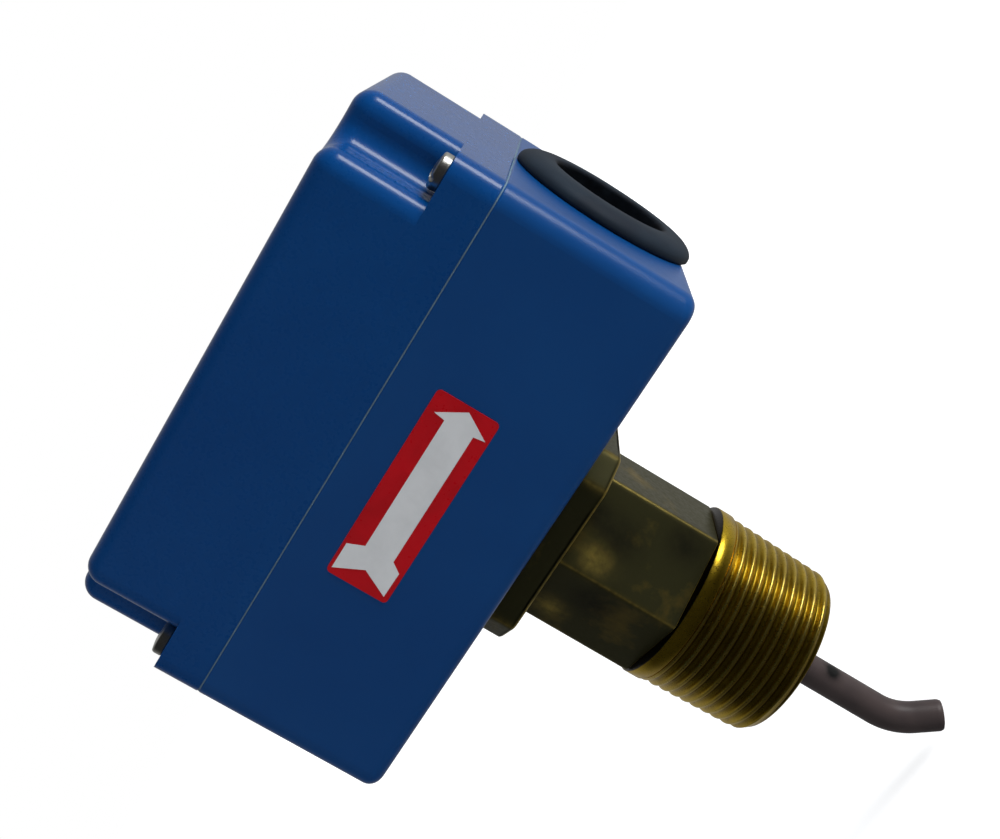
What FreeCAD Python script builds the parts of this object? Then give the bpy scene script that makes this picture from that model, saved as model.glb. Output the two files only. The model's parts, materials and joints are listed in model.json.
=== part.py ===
import FreeCAD, Part
import math
import os
import re

import Sketcher

# Flow switch with a bent lever: a two-part metal case on a brass body with a pipe thread.
# Origin: on the thread's axis at its hand-tight plane. +Z runs up to the cover, +X points along the
# flow arrow and through the conduit grommet, -Y is the side that carries the flow label.

Vector = FreeCAD.Vector
doc = FreeCAD.newDocument("FlowSwitch")

# ---------------------------------------------------------------- driving dimensions (mm, degrees)
SIZES = [
    ("hand_tight_depth", 10, "free end of the nipple to the hand-tight plane"),
    ("thread_length", 22, "length of the threaded nipple"),
    ("thread_radius", 16.7, "outside radius of the 1 inch taper thread, as a cylinder"),
    ("thread_chamfer", 1.2, "lead-in at the nipple's free end"),
    ("collar_length", 3, "plain collar between thread and hexagon"),
    ("collar_radius", 17.3, "radius of that collar"),
    ("hex_flats", 30, "hexagon across flats"),
    ("hex_height", 23.6, "height of the hexagon"),
    ("flow_bore_radius", 12, "bore that the lever swings in"),
    ("bore_roof", 18, "depth of metal above the wide bore"),
    ("neck_radius", 6, "radius of the narrow bore above it"),
    ("flange_length", 40, "brass flange along X"),
    ("flange_width", 36, "brass flange along Y"),
    ("flange_thickness", 6.4, "brass flange"),
    ("flange_corner", 5, "corner cut of the flange"),
    ("flange_edge", 0.8, "radius round the flange's lower face"),
    ("flange_gasket_thickness", 1, "gasket between flange and case"),
    ("spigot_radius", 11, "brass spigot through the case floor"),
    ("seal_radius", 8, "rubber seal round the lever"),
    ("seal_thickness", 2.5, "rubber seal"),
    ("seal_hole", 3.5, "radius of the seal's hole"),
    ("case_length", 100.6, "case along X"),
    ("case_width", 66, "case along Y"),
    ("case_offset", 2.1, "case centre from the thread axis, along X"),
    ("base_height", 34.5, "base, from its underside to the seam"),
    ("cover_height", 26.5, "cover, from the seam to its top"),
    ("case_corner", 4, "radius of the upright corners"),
    ("case_edge", 2.5, "radius of the base's lower edges"),
    ("cover_edge", 3.4, "radius round the cover's top"),
    ("seam_edge", 0.4, "radius along the seam"),
    ("base_wall", 3, "wall and floor of the base"),
    ("cover_wall", 2.5, "wall and top of the cover"),
    ("inner_corner", 2, "radius of the inside corners"),
    ("notch_length", 8.8, "corner notch of the cover along X"),
    ("notch_width", 10, "corner notch of the cover along Y"),
    ("notch_inner", 4, "inside radius of a notch"),
    ("notch_outer", 3.6, "outside radii of a notch"),
    ("lug_height", 8.4, "height of the lug under a notch"),
    ("screw_from_end", 4.4, "cover screw to the case's end"),
    ("screw_from_side", 5.6, "cover screw to the case's side"),
    ("screw_radius", 2, "cover screw shank"),
    ("screw_head_radius", 3.4, "cover screw head"),
    ("screw_head_height", 2.4, "cover screw head"),
    ("screw_length", 19, "cover screw shank, under the head"),
    ("screw_hole_gap", 0.2, "radial clearance round a cover screw"),
    ("hole_gap", 0.1, "clearance of the other round holes"),
    ("seat_gap", 0.02, "gap between a part and what it sits on"),
    ("post_length", 9, "corner post of the base along X"),
    ("post_width", 10.5, "corner post of the base along Y"),
    ("rim_lip", 1.2, "lip of the base outside the gasket"),
    ("gasket_thickness", 0.8, "cover gasket"),
    ("gasket_gap", 0.05, "clearance round and over the cover gasket"),
    ("conduit_radius", 13, "hole for the conduit"),
    ("grommet_radius", 17, "grommet's outside rim"),
    ("grommet_rim", 3, "how far the rim stands out"),
    ("grommet_lip", 14, "radius of the lip inside the wall"),
    ("grommet_lip_thickness", 2, "that lip"),
    ("grommet_recess", 10.8, "radius of the pressed-in centre"),
    ("grommet_web", 1.2, "thickness of the web in the centre"),
    ("label_length", 36, "flow label along X"),
    ("label_place", 2.4, "label's centre from the thread axis, along X"),
    ("label_height", 11.2, "flow label along Z"),
    ("label_centre", 67.6, "height of the label's centre"),
    ("label_thickness", 0.2, "flow label"),
    ("label_corner", 0.8, "label's corner radius"),
    ("pivot_height", 11, "lever pivot above the case's underside"),
    ("pin_radius", 2, "pivot pin"),
    ("pivot_gap", 0.05, "running clearance round the pin"),
    ("pin_gap", 0.01, "clearance of the pin in the ears"),
    ("hub_length", 10, "lever hub along X"),
    ("hub_below", 5.4, "hub below the pivot"),
    ("hub_above", 4.4, "hub above the pivot"),
    ("hub_corner", 1.5, "corners cut off the hub"),
    ("ear_gap", 0.3, "side clearance between hub and ears"),
    ("rod_radius", 2, "lever rod"),
    ("sleeve_radius", 3, "brown sleeve on the rod"),
    ("sleeve_gap", 0.02, "clearance between rod and sleeve"),
    ("sleeve_top", 10, "top of the sleeve above the origin"),
    ("bend_start", 21, "bend below the nipple's free end"),
    ("bend_radius", 12, "bend of the lever, on its centre line"),
    ("bend_angle", 38, "turn of that bend"),
    ("tip_length", 5, "straight tip after the bend"),
    ("tip_cap", 1.5, "closed end of the sleeve"),
    ("sheet", 1.5, "thickness of bracket and arm"),
    ("bracket_length", 40, "bracket foot along X"),
    ("bracket_width", 36, "bracket foot along Y"),
    ("foot_hole", 6, "radius of the hole in the bracket's foot"),
    ("ear_distance", 9, "inner face of each ear from the centre"),
    ("ear_length", 16, "ear along X"),
    ("ear_top", 4.2, "ear above the pivot"),
    ("wing_bottom", 13, "underside of the switch plate above the pivot"),
    ("wing_left", 36, "switch plate to the left of the thread axis"),
    ("wing_right", 24, "switch plate to the right"),
    ("arm_left", 34, "arm to the left of the thread axis"),
    ("arm_right", 19, "arm to the right"),
    ("arm_width", 12, "arm along Y"),
    ("arm_flange", 3.5, "height of the arm's turned-up edges"),
    ("switch_length", 49, "switch case along X"),
    ("switch_height", 24, "switch case along Z"),
    ("switch_thickness", 17.2, "switch case along Y"),
    ("switch_bottom", 12.5, "switch case above the pivot"),
    ("switch_left", 24, "switch case to the left of the thread axis"),
    ("switch_screw_pitch", 25.4, "between the switch's two screws"),
    ("plunger_place", 15, "plunger and trip screw from the thread axis"),
    ("plunger_radius", 2.2, "plunger"),
    ("plunger_length", 6, "plunger"),
    ("plunger_drop", 2.2, "plunger below the switch case"),
    ("plunger_travel", 1.7, "how far the plunger goes in"),
    ("trip_gap", 0.3, "trip screw to plunger"),
    ("trip_below", 3, "trip screw below the arm"),
    ("trip_nut_height", 1.8, "lock nut of the trip screw"),
    ("switch_nut_height", 2.4, "nuts of the switch screws"),
    ("switch_corner", 3, "corners cut off the switch case"),
    ("insulator_thickness", 0.3, "insulating sheet behind the switch"),
    ("terminal_length", 9, "terminal plate along X"),
    ("terminal_width", 12, "terminal plate along Y"),
    ("terminal_thickness", 1.2, "terminal plate"),
    ("terminal_tongue", 3, "turned-up tongue of a terminal plate"),
    ("terminal_left", -17, "common terminal"),
    ("terminal_middle", 5, "normally closed terminal"),
    ("terminal_right", 18, "normally open terminal"),
    ("small_screw", 1.7, "radius of the small screws"),
    ("small_head", 3, "radius of their heads"),
    ("small_head_height", 2.2, "height of their heads"),
    ("small_depth", 6, "length of their shanks"),
    ("flange_screw_x", 14, "flange screws from the thread axis, along X"),
    ("flange_screw_y", 13, "flange screws from the thread axis, along Y"),
    ("flange_screw_radius", 2, "flange screw shank"),
    ("flange_screw_depth", 5, "flange screw into the brass"),
    ("range_place", 30, "range spring from the thread axis"),
    ("spring_radius", 4, "outside of the range spring"),
    ("spring_wire", 1, "wire of the range spring"),
    ("spring_length", 15, "range spring"),
    ("nut_height", 4, "range nut"),
    ("nut_side", 9, "range nut across"),
    ("range_screw_radius", 2, "range screw"),
    ("range_head_radius", 4.5, "knurled head of the range screw"),
    ("range_head_height", 4, "that head"),
    ("range_tail", 6, "range screw below the nut"),
    ("tab_height", 31, "tab of the bracket above the pivot"),
    ("earth_x", 36, "earth screw from the thread axis, along X"),
    ("earth_y", 23, "earth screw from the centre, along Y"),
    ("earth_boss", 4.5, "radius of the earth screw's boss"),
    ("earth_boss_height", 4, "height of that boss"),
]

sheet = doc.addObject("Spreadsheet::Sheet", "Sizes")
for row, (alias, size, note) in enumerate(SIZES, 1):
    sheet.set(f"A{row}", note)
    sheet.set(f"B{row}", str(size))
    sheet.setAlias(f"B{row}", alias)

# Heights and places that follow from the driving dimensions.
LEVELS = [
    ("nipple_end", "-hand_tight_depth"),
    ("collar_from", "nipple_end + thread_length"),
    ("hex_from", "collar_from + collar_length"),
    ("flange_from", "hex_from + hex_height"),
    ("flange_top", "flange_from + flange_thickness"),
    ("base_from", "flange_top + flange_gasket_thickness"),
    ("floor_top", "base_from + base_wall"),
    ("seam", "base_from + base_height"),
    ("cover_top", "seam + cover_height"),
    ("lug_top", "seam + lug_height"),
    ("rim", "seam - gasket_thickness"),
    ("case_left", "case_offset - case_length / 2"),
    ("case_right", "case_offset + case_length / 2"),
    ("half_width", "case_width / 2"),
    ("screw_left", "case_left + screw_from_end"),
    ("screw_right", "case_right - screw_from_end"),
    ("screw_side", "half_width - screw_from_side"),
    ("screw_hole", "screw_radius + screw_hole_gap"),
    ("conduit_height", "base_from + base_height / 2"),
    ("grommet_room", "base_height / 2 - base_wall - hole_gap"),
    ("grommet_share", "min(1; grommet_room / grommet_lip)"),
    ("conduit_hole", "conduit_radius * grommet_share"),
    ("plug_radius", "grommet_radius * grommet_share"),
    ("plug_lip", "grommet_lip * grommet_share"),
    ("plug_recess", "grommet_recess * grommet_share"),
    ("pivot", "base_from + pivot_height"),
    ("foot_top", "floor_top + sheet"),
    ("hub_bottom", "pivot - hub_below"),
    ("arm_from", "pivot + hub_above"),
    ("arm_top", "arm_from + sheet"),
    ("rod_top", "pivot - pin_radius - 0.6"),
    ("bend_from", "nipple_end - bend_start"),
    ("switch_from", "pivot + switch_bottom"),
    ("switch_top", "switch_from + switch_height"),
    ("switch_back", "ear_distance - insulator_thickness"),
    ("switch_front", "switch_back - switch_thickness"),
    ("plunger_from", "switch_from - plunger_drop"),
    ("nut_from", "arm_top + spring_length + 0.3"),
    ("tab_from", "pivot + tab_height"),
    ("tab_top", "tab_from + sheet"),
]
levels = doc.addObject("App::VarSet", "Levels")
SIZE_NAMES = {alias for alias, size, note in SIZES}
LEVEL_NAMES = {name for name, formula in LEVELS}


def formula(text):
    """The text as an expression, with each name referred to the sheet or to the levels."""
    def refer(match):
        word = match.group()
        if word in SIZE_NAMES:
            return "Sizes." + word
        return "Levels." + word if word in LEVEL_NAMES else word
    return re.sub(r"[a-z][a-z_]+", refer, str(text))


for name, text in LEVELS:
    levels.addProperty("App::PropertyFloat", name)
    levels.setExpression(name, formula(text))
doc.recompute()


def size(name):
    """A driving dimension or a level, as a number."""
    return getattr(levels if name in LEVEL_NAMES else sheet, name)


def bind(thing, **properties):
    """Bind properties to expressions; a double underscore stands for a dot."""
    for key, text in properties.items():
        thing.setExpression(key.replace("__", "."), formula(text))
    return thing


# ---------------------------------------------------------------- PartDesign helpers
def new_body(label):
    body = doc.addObject("PartDesign::Body", label)
    body.Label = label
    return body


def new_sketch(body, plane="XY", offset="0"):
    """An empty sketch on one of the body's own origin planes, moved along the plane's normal."""
    sketch = body.newObject("Sketcher::SketchObject", body.Label + "_sketch")
    support = [f for f in body.Origin.OriginFeatures if f.Role == plane + "_Plane"][0]
    sketch.AttachmentSupport = [(support, "")]
    sketch.MapMode = "FlatFace"
    return bind(sketch, AttachmentOffset__Base__z=offset)


def pin_point(sketch, geometry, point, x, y):
    """Hold a point of the sketch at x, y from its origin, starting from where it is."""
    spot = sketch.getPoint(geometry, point)
    for kind, text, drawn in (("DistanceX", x, spot.x), ("DistanceY", y, spot.y)):
        index = sketch.addConstraint(Sketcher.Constraint(kind, -1, 1, geometry, point, drawn))
        sketch.setExpression(f"Constraints[{index}]", formula(text))


def outline(sketch, points):
    """A closed outline of straight lines through points that are pairs of expressions."""
    first = sketch.GeometryCount
    count = len(points)
    turn = 2 * math.pi / count
    spots = [Vector(math.cos(turn * k), math.sin(turn * k), 0) for k in range(count)]
    for k in range(count):
        sketch.addGeometry(Part.LineSegment(spots[k], spots[(k + 1) % count]), False)
    for k in range(count):
        following = first + (k + 1) % count
        sketch.addConstraint(Sketcher.Constraint("Coincident", first + k, 2, following, 1))
    for k, (x, y) in enumerate(points):
        pin_point(sketch, first + k, 1, x, y)


def rectangle(sketch, left, right, low, high):
    outline(sketch, [(left, low), (right, low), (right, high), (left, high)])


def circle(sketch, x, y, radius):
    index = sketch.addGeometry(Part.Circle(Vector(1, 1, 0), Vector(0, 0, 1), 1), False)
    pin_point(sketch, index, 3, x, y)
    ring = sketch.addConstraint(Sketcher.Constraint("Radius", index, 1.0))
    sketch.setExpression(f"Constraints[{ring}]", formula(radius))


def feature(body, kind, sketch, length, backwards=False, both_ways=False):
    """A Pad or Pocket of the sketch; a Pocket that removes nothing is an error."""
    doc.recompute()
    before = body.Tip.Shape.Volume if body.Tip and kind == "Pocket" else 0
    made = body.newObject("PartDesign::" + kind, body.Label + "_" + kind.lower())
    made.Profile = sketch
    made.Reversed = backwards
    made.Midplane = both_ways
    bind(made, Length=length)
    doc.recompute()
    if kind == "Pocket" and made.Shape.Volume > before - 1e-3:
        raise RuntimeError(made.Name + " cuts nothing")
    return made


def revolved(body, sketch, axis):
    """A full turn of the sketch about its own H or V axis."""
    made = body.newObject("PartDesign::Revolution", body.Label + "_revolution")
    made.Profile = sketch
    made.ReferenceAxis = (sketch, [axis + "_Axis"])
    doc.recompute()
    return made


def dress(body, kind, test, **properties):
    """A Fillet or Chamfer of the edges of the body's tip that pass the test."""
    doc.recompute()
    base = body.Tip
    names = [f"Edge{n}" for n, edge in enumerate(base.Shape.Edges, 1) if test(edge)]
    if not names:
        raise RuntimeError(body.Label + " has no such edge")
    made = body.newObject("PartDesign::" + kind, body.Label + "_" + kind.lower())
    made.Base = (base, names)
    bind(made, **properties)
    doc.recompute()
    return made


def close(a, b):
    return abs(a - b) < 0.01


def upright(edge):
    """A straight edge along Z."""
    ends = [v.Point for v in edge.Vertexes]
    return len(ends) == 2 and close(ends[0].x, ends[1].x) and close(ends[0].y, ends[1].y)


def at_height(edge, height):
    """An edge that lies wholly at this height."""
    box = edge.BoundBox
    return close(box.ZMin, height) and close(box.ZMax, height)


def centre(edge):
    return edge.BoundBox.Center


def signs():
    """The four quadrants, as signs for expressions."""
    return [(x, y) for x in ("-", "") for y in ("-", "")]


# ---------------------------------------------------------------- Part helpers
TURNS = {
    "Z": FreeCAD.Rotation(),
    "X": FreeCAD.Rotation(Vector(0, 1, 0), 90),
    "Y": FreeCAD.Rotation(Vector(1, 0, 0), -90),
}


def place(thing, x, y, z):
    return bind(thing, Placement__Base__x=x, Placement__Base__y=y, Placement__Base__z=z)


def cylinder(label, radius, length, x, y, z, axis="Z"):
    """A cylinder from its first end, along X, Y or Z."""
    made = doc.addObject("Part::Cylinder", label)
    made.Placement = FreeCAD.Placement(Vector(), TURNS[axis])
    return place(bind(made, Radius=radius, Height=length), x, y, z)


def block(label, x, y, z, length, width, height):
    """A box from its lowest corner."""
    made = doc.addObject("Part::Box", label)
    return place(bind(made, Length=length, Width=width, Height=height), x, y, z)


def nut_blank(label, across, length, x, y, z, axis="Z"):
    """A hexagonal prism from its first end, given its size across flats."""
    made = doc.addObject("Part::Prism", label)
    made.Polygon = 6
    made.Placement = FreeCAD.Placement(Vector(), TURNS[axis])
    return place(bind(made, Circumradius=f"({across}) / sqrt(3)", Height=length), x, y, z)


def joined(label, pieces):
    made = doc.addObject("Part::MultiFuse", label)
    made.Shapes = pieces
    made.Label = label
    return made


def less(label, base, tool):
    made = doc.addObject("Part::Cut", label)
    made.Base = base
    made.Tool = tool
    made.Label = label
    return made


def group(label, pieces):
    """Separate solids that share one node, as a compound."""
    made = doc.addObject("Part::Compound", label)
    made.Links = pieces
    made.Label = label
    return made


def headed_screw(label, radius, length, head_radius, head_height, x, y, z, slot=True):
    """A screw that points down, with the underside of its head at z and a slot across the head."""
    shank = cylinder(label + "_shank", radius, length, x, y, f"({z}) - ({length})")
    head = cylinder(label + "_head", head_radius, head_height, x, y, z)
    screw = joined(label + "_blank", [shank, head])
    if not slot:
        return screw
    cutter = block(label + "_slot", f"({x}) - ({head_radius})", f"({y}) - ({head_radius}) / 8",
                   f"({z}) + ({head_height}) * 0.55", f"({head_radius}) * 2",
                   f"({head_radius}) / 4", head_height)
    return less(label, screw, cutter)


# ---------------------------------------------------------------- case
def case_outline(sketch, inset="0"):
    """The case's rectangle, drawn in by the inset."""
    rectangle(sketch, f"case_left + {inset}", f"case_right - {inset}",
              f"-half_width + {inset}", f"half_width - {inset}")


def corner_rectangles(sketch, length, width, outside="0"):
    """One rectangle at each corner of the case, reaching outside by the given amount."""
    for x, y in signs():
        outer = f"case_left - {outside}" if x else f"case_right + {outside}"
        inner = f"case_left + {length}" if x else f"case_right - {length}"
        rectangle(sketch, outer, inner, f"{y}(half_width + {outside})", f"{y}(half_width - {width})")


def corner_circles(sketch, radius):
    for x, y in signs():
        circle(sketch, "screw_left" if x else "screw_right", f"{y}screw_side", radius)


def stepped_outline(sketch, gap, length, width):
    """The case's inside, drawn in by the gap, with a rectangle left out at each corner."""
    low, high = f"case_left + {gap}", f"case_right - {gap}"
    left, right = f"case_left + {length}", f"case_right - {length}"
    side, step = f"(half_width - {gap})", f"(half_width - {width})"
    outline(sketch, [
        (low, "-" + step), (left, "-" + step), (left, "-" + side), (right, "-" + side),
        (right, "-" + step), (high, "-" + step), (high, step), (right, step),
        (right, side), (left, side), (left, step), (low, step)])


def make_base_housing():
    """Cast base: a tray with a post for each cover screw, a rebated rim and a conduit hole."""
    body = new_body("base_housing")
    shell = new_sketch(body, offset="base_from")
    case_outline(shell)
    feature(body, "Pad", shell, "base_height")
    dress(body, "Fillet", upright, Radius="case_corner")
    dress(body, "Fillet", lambda e: at_height(e, size("base_from")), Radius="case_edge")
    dress(body, "Fillet", lambda e: at_height(e, size("seam")), Radius="seam_edge")
    inside = new_sketch(body, offset="seam")
    stepped_outline(inside, "base_wall", "post_length", "post_width")
    feature(body, "Pocket", inside, "base_height - base_wall")
    inner = size("half_width") - size("case_corner")
    dress(body, "Fillet",
          lambda e: upright(e) and e.Length > size("base_height") / 2 and abs(centre(e).y) < inner
          and size("case_left") + 1 < centre(e).x < size("case_right") - 1,
          Radius="inner_corner")
    rebate = new_sketch(body, offset="seam")
    case_outline(rebate, "rim_lip")
    feature(body, "Pocket", rebate, "gasket_thickness")
    taps = new_sketch(body, offset="rim")
    corner_circles(taps, "screw_hole")
    feature(body, "Pocket", taps, "screw_length - lug_height + 2")
    conduit = new_sketch(body, "YZ", "case_right")
    circle(conduit, "0", "conduit_height", "conduit_hole")
    feature(body, "Pocket", conduit, "base_wall + 1")
    earth = new_sketch(body, offset="floor_top - 0.5")
    circle(earth, "earth_x", "-earth_y", "earth_boss")
    feature(body, "Pad", earth, "earth_boss_height + 0.5")
    earth_hole = new_sketch(body, offset="floor_top + earth_boss_height")
    circle(earth_hole, "earth_x", "-earth_y", "small_screw")
    feature(body, "Pocket", earth_hole, "small_depth")
    floor_holes = new_sketch(body, offset="floor_top")
    circle(floor_holes, "0", "0", "spigot_radius + hole_gap")
    for x, y in signs():
        circle(floor_holes, f"{x}flange_screw_x", f"{y}flange_screw_y", "flange_screw_radius")
    feature(body, "Pocket", floor_holes, "base_wall + 1")
    return body


def make_cover():
    """Cast cover: a shell with a notched corner over each screw lug, all edges rounded."""
    body = new_body("cover")
    shell = new_sketch(body, offset="seam")
    case_outline(shell)
    feature(body, "Pad", shell, "cover_height")
    dress(body, "Fillet", upright, Radius="case_corner")
    notches = new_sketch(body, offset="cover_top")
    corner_rectangles(notches, "notch_length", "notch_width", "1")
    feature(body, "Pocket", notches, "cover_height - lug_height")
    tall = size("cover_height") - size("lug_height") - 0.1
    edge_x = size("notch_length") - 0.1
    edge_y = size("half_width") - size("notch_width")

    def in_notch(edge):
        return upright(edge) and edge.Length > tall and centre(edge).z > size("lug_top")

    def concave(edge):
        spot = centre(edge)
        from_end = min(spot.x - size("case_left"), size("case_right") - spot.x)
        return in_notch(edge) and close(abs(spot.y), edge_y) and from_end > edge_x

    dress(body, "Fillet", concave, Radius="notch_inner")
    dress(body, "Fillet", lambda e: in_notch(e) and e.Length > tall and (
        close(abs(centre(e).y), size("half_width"))
        or close(centre(e).x, size("case_left")) or close(centre(e).x, size("case_right"))),
        Radius="notch_outer")
    dress(body, "Fillet", lambda e: at_height(e, size("cover_top")), Radius="cover_edge")
    dress(body, "Fillet", lambda e: at_height(e, size("seam")), Radius="seam_edge")
    inside = new_sketch(body, offset="seam")
    stepped_outline(inside, "cover_wall", "(notch_length + cover_wall)",
                    "(notch_width + cover_wall)")
    feature(body, "Pocket", inside, "cover_height - cover_wall", backwards=True)
    holes = new_sketch(body, offset="lug_top")
    corner_circles(holes, "screw_hole")
    feature(body, "Pocket", holes, "lug_height + 1")
    return body


def make_cover_gasket():
    """Flat gasket in the base's rebate, with a hole for each cover screw."""
    body = new_body("cover_gasket")
    plate = new_sketch(body, offset="rim")
    case_outline(plate, "(rim_lip + gasket_gap)")
    feature(body, "Pad", plate, "gasket_thickness - gasket_gap")
    dress(body, "Fillet", upright, Radius="case_corner - rim_lip")
    window = new_sketch(body, offset="seam")
    stepped_outline(window, "base_wall", "post_length", "post_width")
    feature(body, "Pocket", window, "gasket_thickness + 1")
    holes = new_sketch(body, offset="seam")
    corner_circles(holes, "screw_hole")
    feature(body, "Pocket", holes, "gasket_thickness + 1")
    return body


def make_cover_screws():
    screws = []
    for x, y in signs():
        spot = "screw_left" if x else "screw_right"
        name = "cover_screw" + ("_left" if x else "_right") + ("_front" if y else "_back")
        screws.append(headed_screw(name, "screw_radius", "screw_length", "screw_head_radius",
                                   "screw_head_height", spot, f"{y}screw_side", "lug_top + seat_gap"))
    return group("cover_screws", screws)


def make_grommet():
    """Blind rubber grommet: rim outside the wall, groove for the wall, lip inside it."""
    body = new_body("conduit_grommet")
    half = new_sketch(body, "XZ")
    wall_out, wall_in = "case_right + seat_gap", "case_right - base_wall - seat_gap"
    outline(half, [
        ("case_right - grommet_web", "0"),
        ("case_right", "0"),
        ("case_right", "plug_recess"),
        ("case_right + grommet_rim", "plug_recess + 0.8"),
        ("case_right + grommet_rim", "plug_radius - 2"),
        ("case_right + grommet_rim * 0.6", "plug_radius"),
        (wall_out, "plug_radius"),
        (wall_out, "conduit_hole - seat_gap"),
        (wall_in, "conduit_hole - seat_gap"),
        (wall_in, "plug_lip"),
        (wall_in + " - grommet_lip_thickness", "plug_lip - 1"),
        (wall_in + " - grommet_lip_thickness", "plug_recess"),
        ("case_right - grommet_web", "plug_recess")])
    revolved(body, half, "H")
    return bind(body, Placement__Base__z="conduit_height")


def make_label():
    body = new_body("flow_label")
    plate = new_sketch(body, "XZ", "half_width")
    rectangle(plate, "label_place - label_length / 2", "label_place + label_length / 2",
              "label_centre - label_height / 2", "label_centre + label_height / 2")
    feature(body, "Pad", plate, "label_thickness")
    dress(body, "Fillet", lambda e: close(e.Length, size("label_thickness")), Radius="label_corner")
    return body


# ---------------------------------------------------------------- brass body
def make_brass_body():
    """Forged body: flange, hexagon, collar and nipple, bored for the lever."""
    body = new_body("brass_body")
    stem = new_sketch(body, "XZ")
    outline(stem, [
        ("0", "nipple_end"),
        ("thread_radius - thread_chamfer", "nipple_end"),
        ("thread_radius", "nipple_end + thread_chamfer"),
        ("thread_radius", "collar_from"),
        ("collar_radius", "collar_from"),
        ("collar_radius", "hex_from"),
        ("spigot_radius", "hex_from"),
        ("spigot_radius", "floor_top"),
        ("0", "floor_top")])
    revolved(body, stem, "V")
    flats = new_sketch(body, offset="hex_from")
    half, slant = "hex_flats / 2", "hex_flats / sqrt(3)"
    outline(flats, [(half, f"-{slant} / 2"), (half, f"{slant} / 2"), ("0", slant),
                    (f"-{half}", f"{slant} / 2"), (f"-{half}", f"-{slant} / 2"), ("0", f"-{slant}")])
    feature(body, "Pad", flats, "hex_height")
    plate = new_sketch(body, offset="flange_from")
    rectangle(plate, "-flange_length / 2", "flange_length / 2", "-flange_width / 2",
              "flange_width / 2")
    feature(body, "Pad", plate, "flange_thickness")
    dress(body, "Chamfer",
          lambda e: upright(e) and close(abs(centre(e).x), size("flange_length") / 2)
          and close(abs(centre(e).y), size("flange_width") / 2), Size="flange_corner")
    dress(body, "Fillet",
          lambda e: at_height(e, size("flange_from"))
          and max(abs(centre(e).x), abs(centre(e).y)) > size("flange_width") / 2 - 2.6,
          Radius="flange_edge")
    bore = new_sketch(body, offset="nipple_end")
    circle(bore, "0", "0", "flow_bore_radius")
    feature(body, "Pocket", bore, "floor_top - bore_roof - nipple_end", backwards=True)
    neck = new_sketch(body, offset="floor_top")
    circle(neck, "0", "0", "neck_radius")
    feature(body, "Pocket", neck, "bore_roof + 1")
    seat = new_sketch(body, offset="floor_top")
    circle(seat, "0", "0", "seal_radius")
    feature(body, "Pocket", seat, "seal_thickness")
    taps = new_sketch(body, offset="flange_top")
    for x, y in signs():
        circle(taps, f"{x}flange_screw_x", f"{y}flange_screw_y", "flange_screw_radius")
    feature(body, "Pocket", taps, "flange_screw_depth")
    return body


def make_flange_gasket():
    body = new_body("flange_gasket")
    plate = new_sketch(body, offset="flange_top")
    rectangle(plate, "-flange_length / 2", "flange_length / 2", "-flange_width / 2",
              "flange_width / 2")
    feature(body, "Pad", plate, "flange_gasket_thickness")
    dress(body, "Chamfer", upright, Size="flange_corner")
    holes = new_sketch(body, offset="base_from")
    circle(holes, "0", "0", "spigot_radius + hole_gap")
    for x, y in signs():
        circle(holes, f"{x}flange_screw_x", f"{y}flange_screw_y", "flange_screw_radius")
    feature(body, "Pocket", holes, "flange_gasket_thickness + 1")
    return body


def make_flange_screws():
    screws = []
    length = "sheet + base_wall + flange_gasket_thickness + flange_screw_depth - 0.3"
    for x, y in signs():
        name = "flange_screw" + ("_left" if x else "_right") + ("_front" if y else "_back")
        screws.append(headed_screw(name, "flange_screw_radius - seat_gap", length, "small_head",
                                   "small_head_height", f"{x}flange_screw_x",
                                   f"{y}flange_screw_y", "foot_top + seat_gap"))
    return group("flange_screws", screws)


def make_lever_seal():
    """Rubber disc in the spigot's seat, domed towards its hole."""
    body = new_body("lever_seal")
    half = new_sketch(body, "XZ")
    low = "floor_top - seal_thickness + seat_gap"
    outline(half, [
        ("seal_hole", low + " + 0.8"),
        ("seal_hole + 1", low),
        ("seal_radius - seat_gap", low),
        ("seal_radius - seat_gap", "floor_top - seat_gap"),
        ("foot_hole", "floor_top - seat_gap"),
        ("seal_hole + 1", "floor_top - 1"),
        ("seal_hole", "floor_top - 1")])
    revolved(body, half, "V")
    return body


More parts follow.
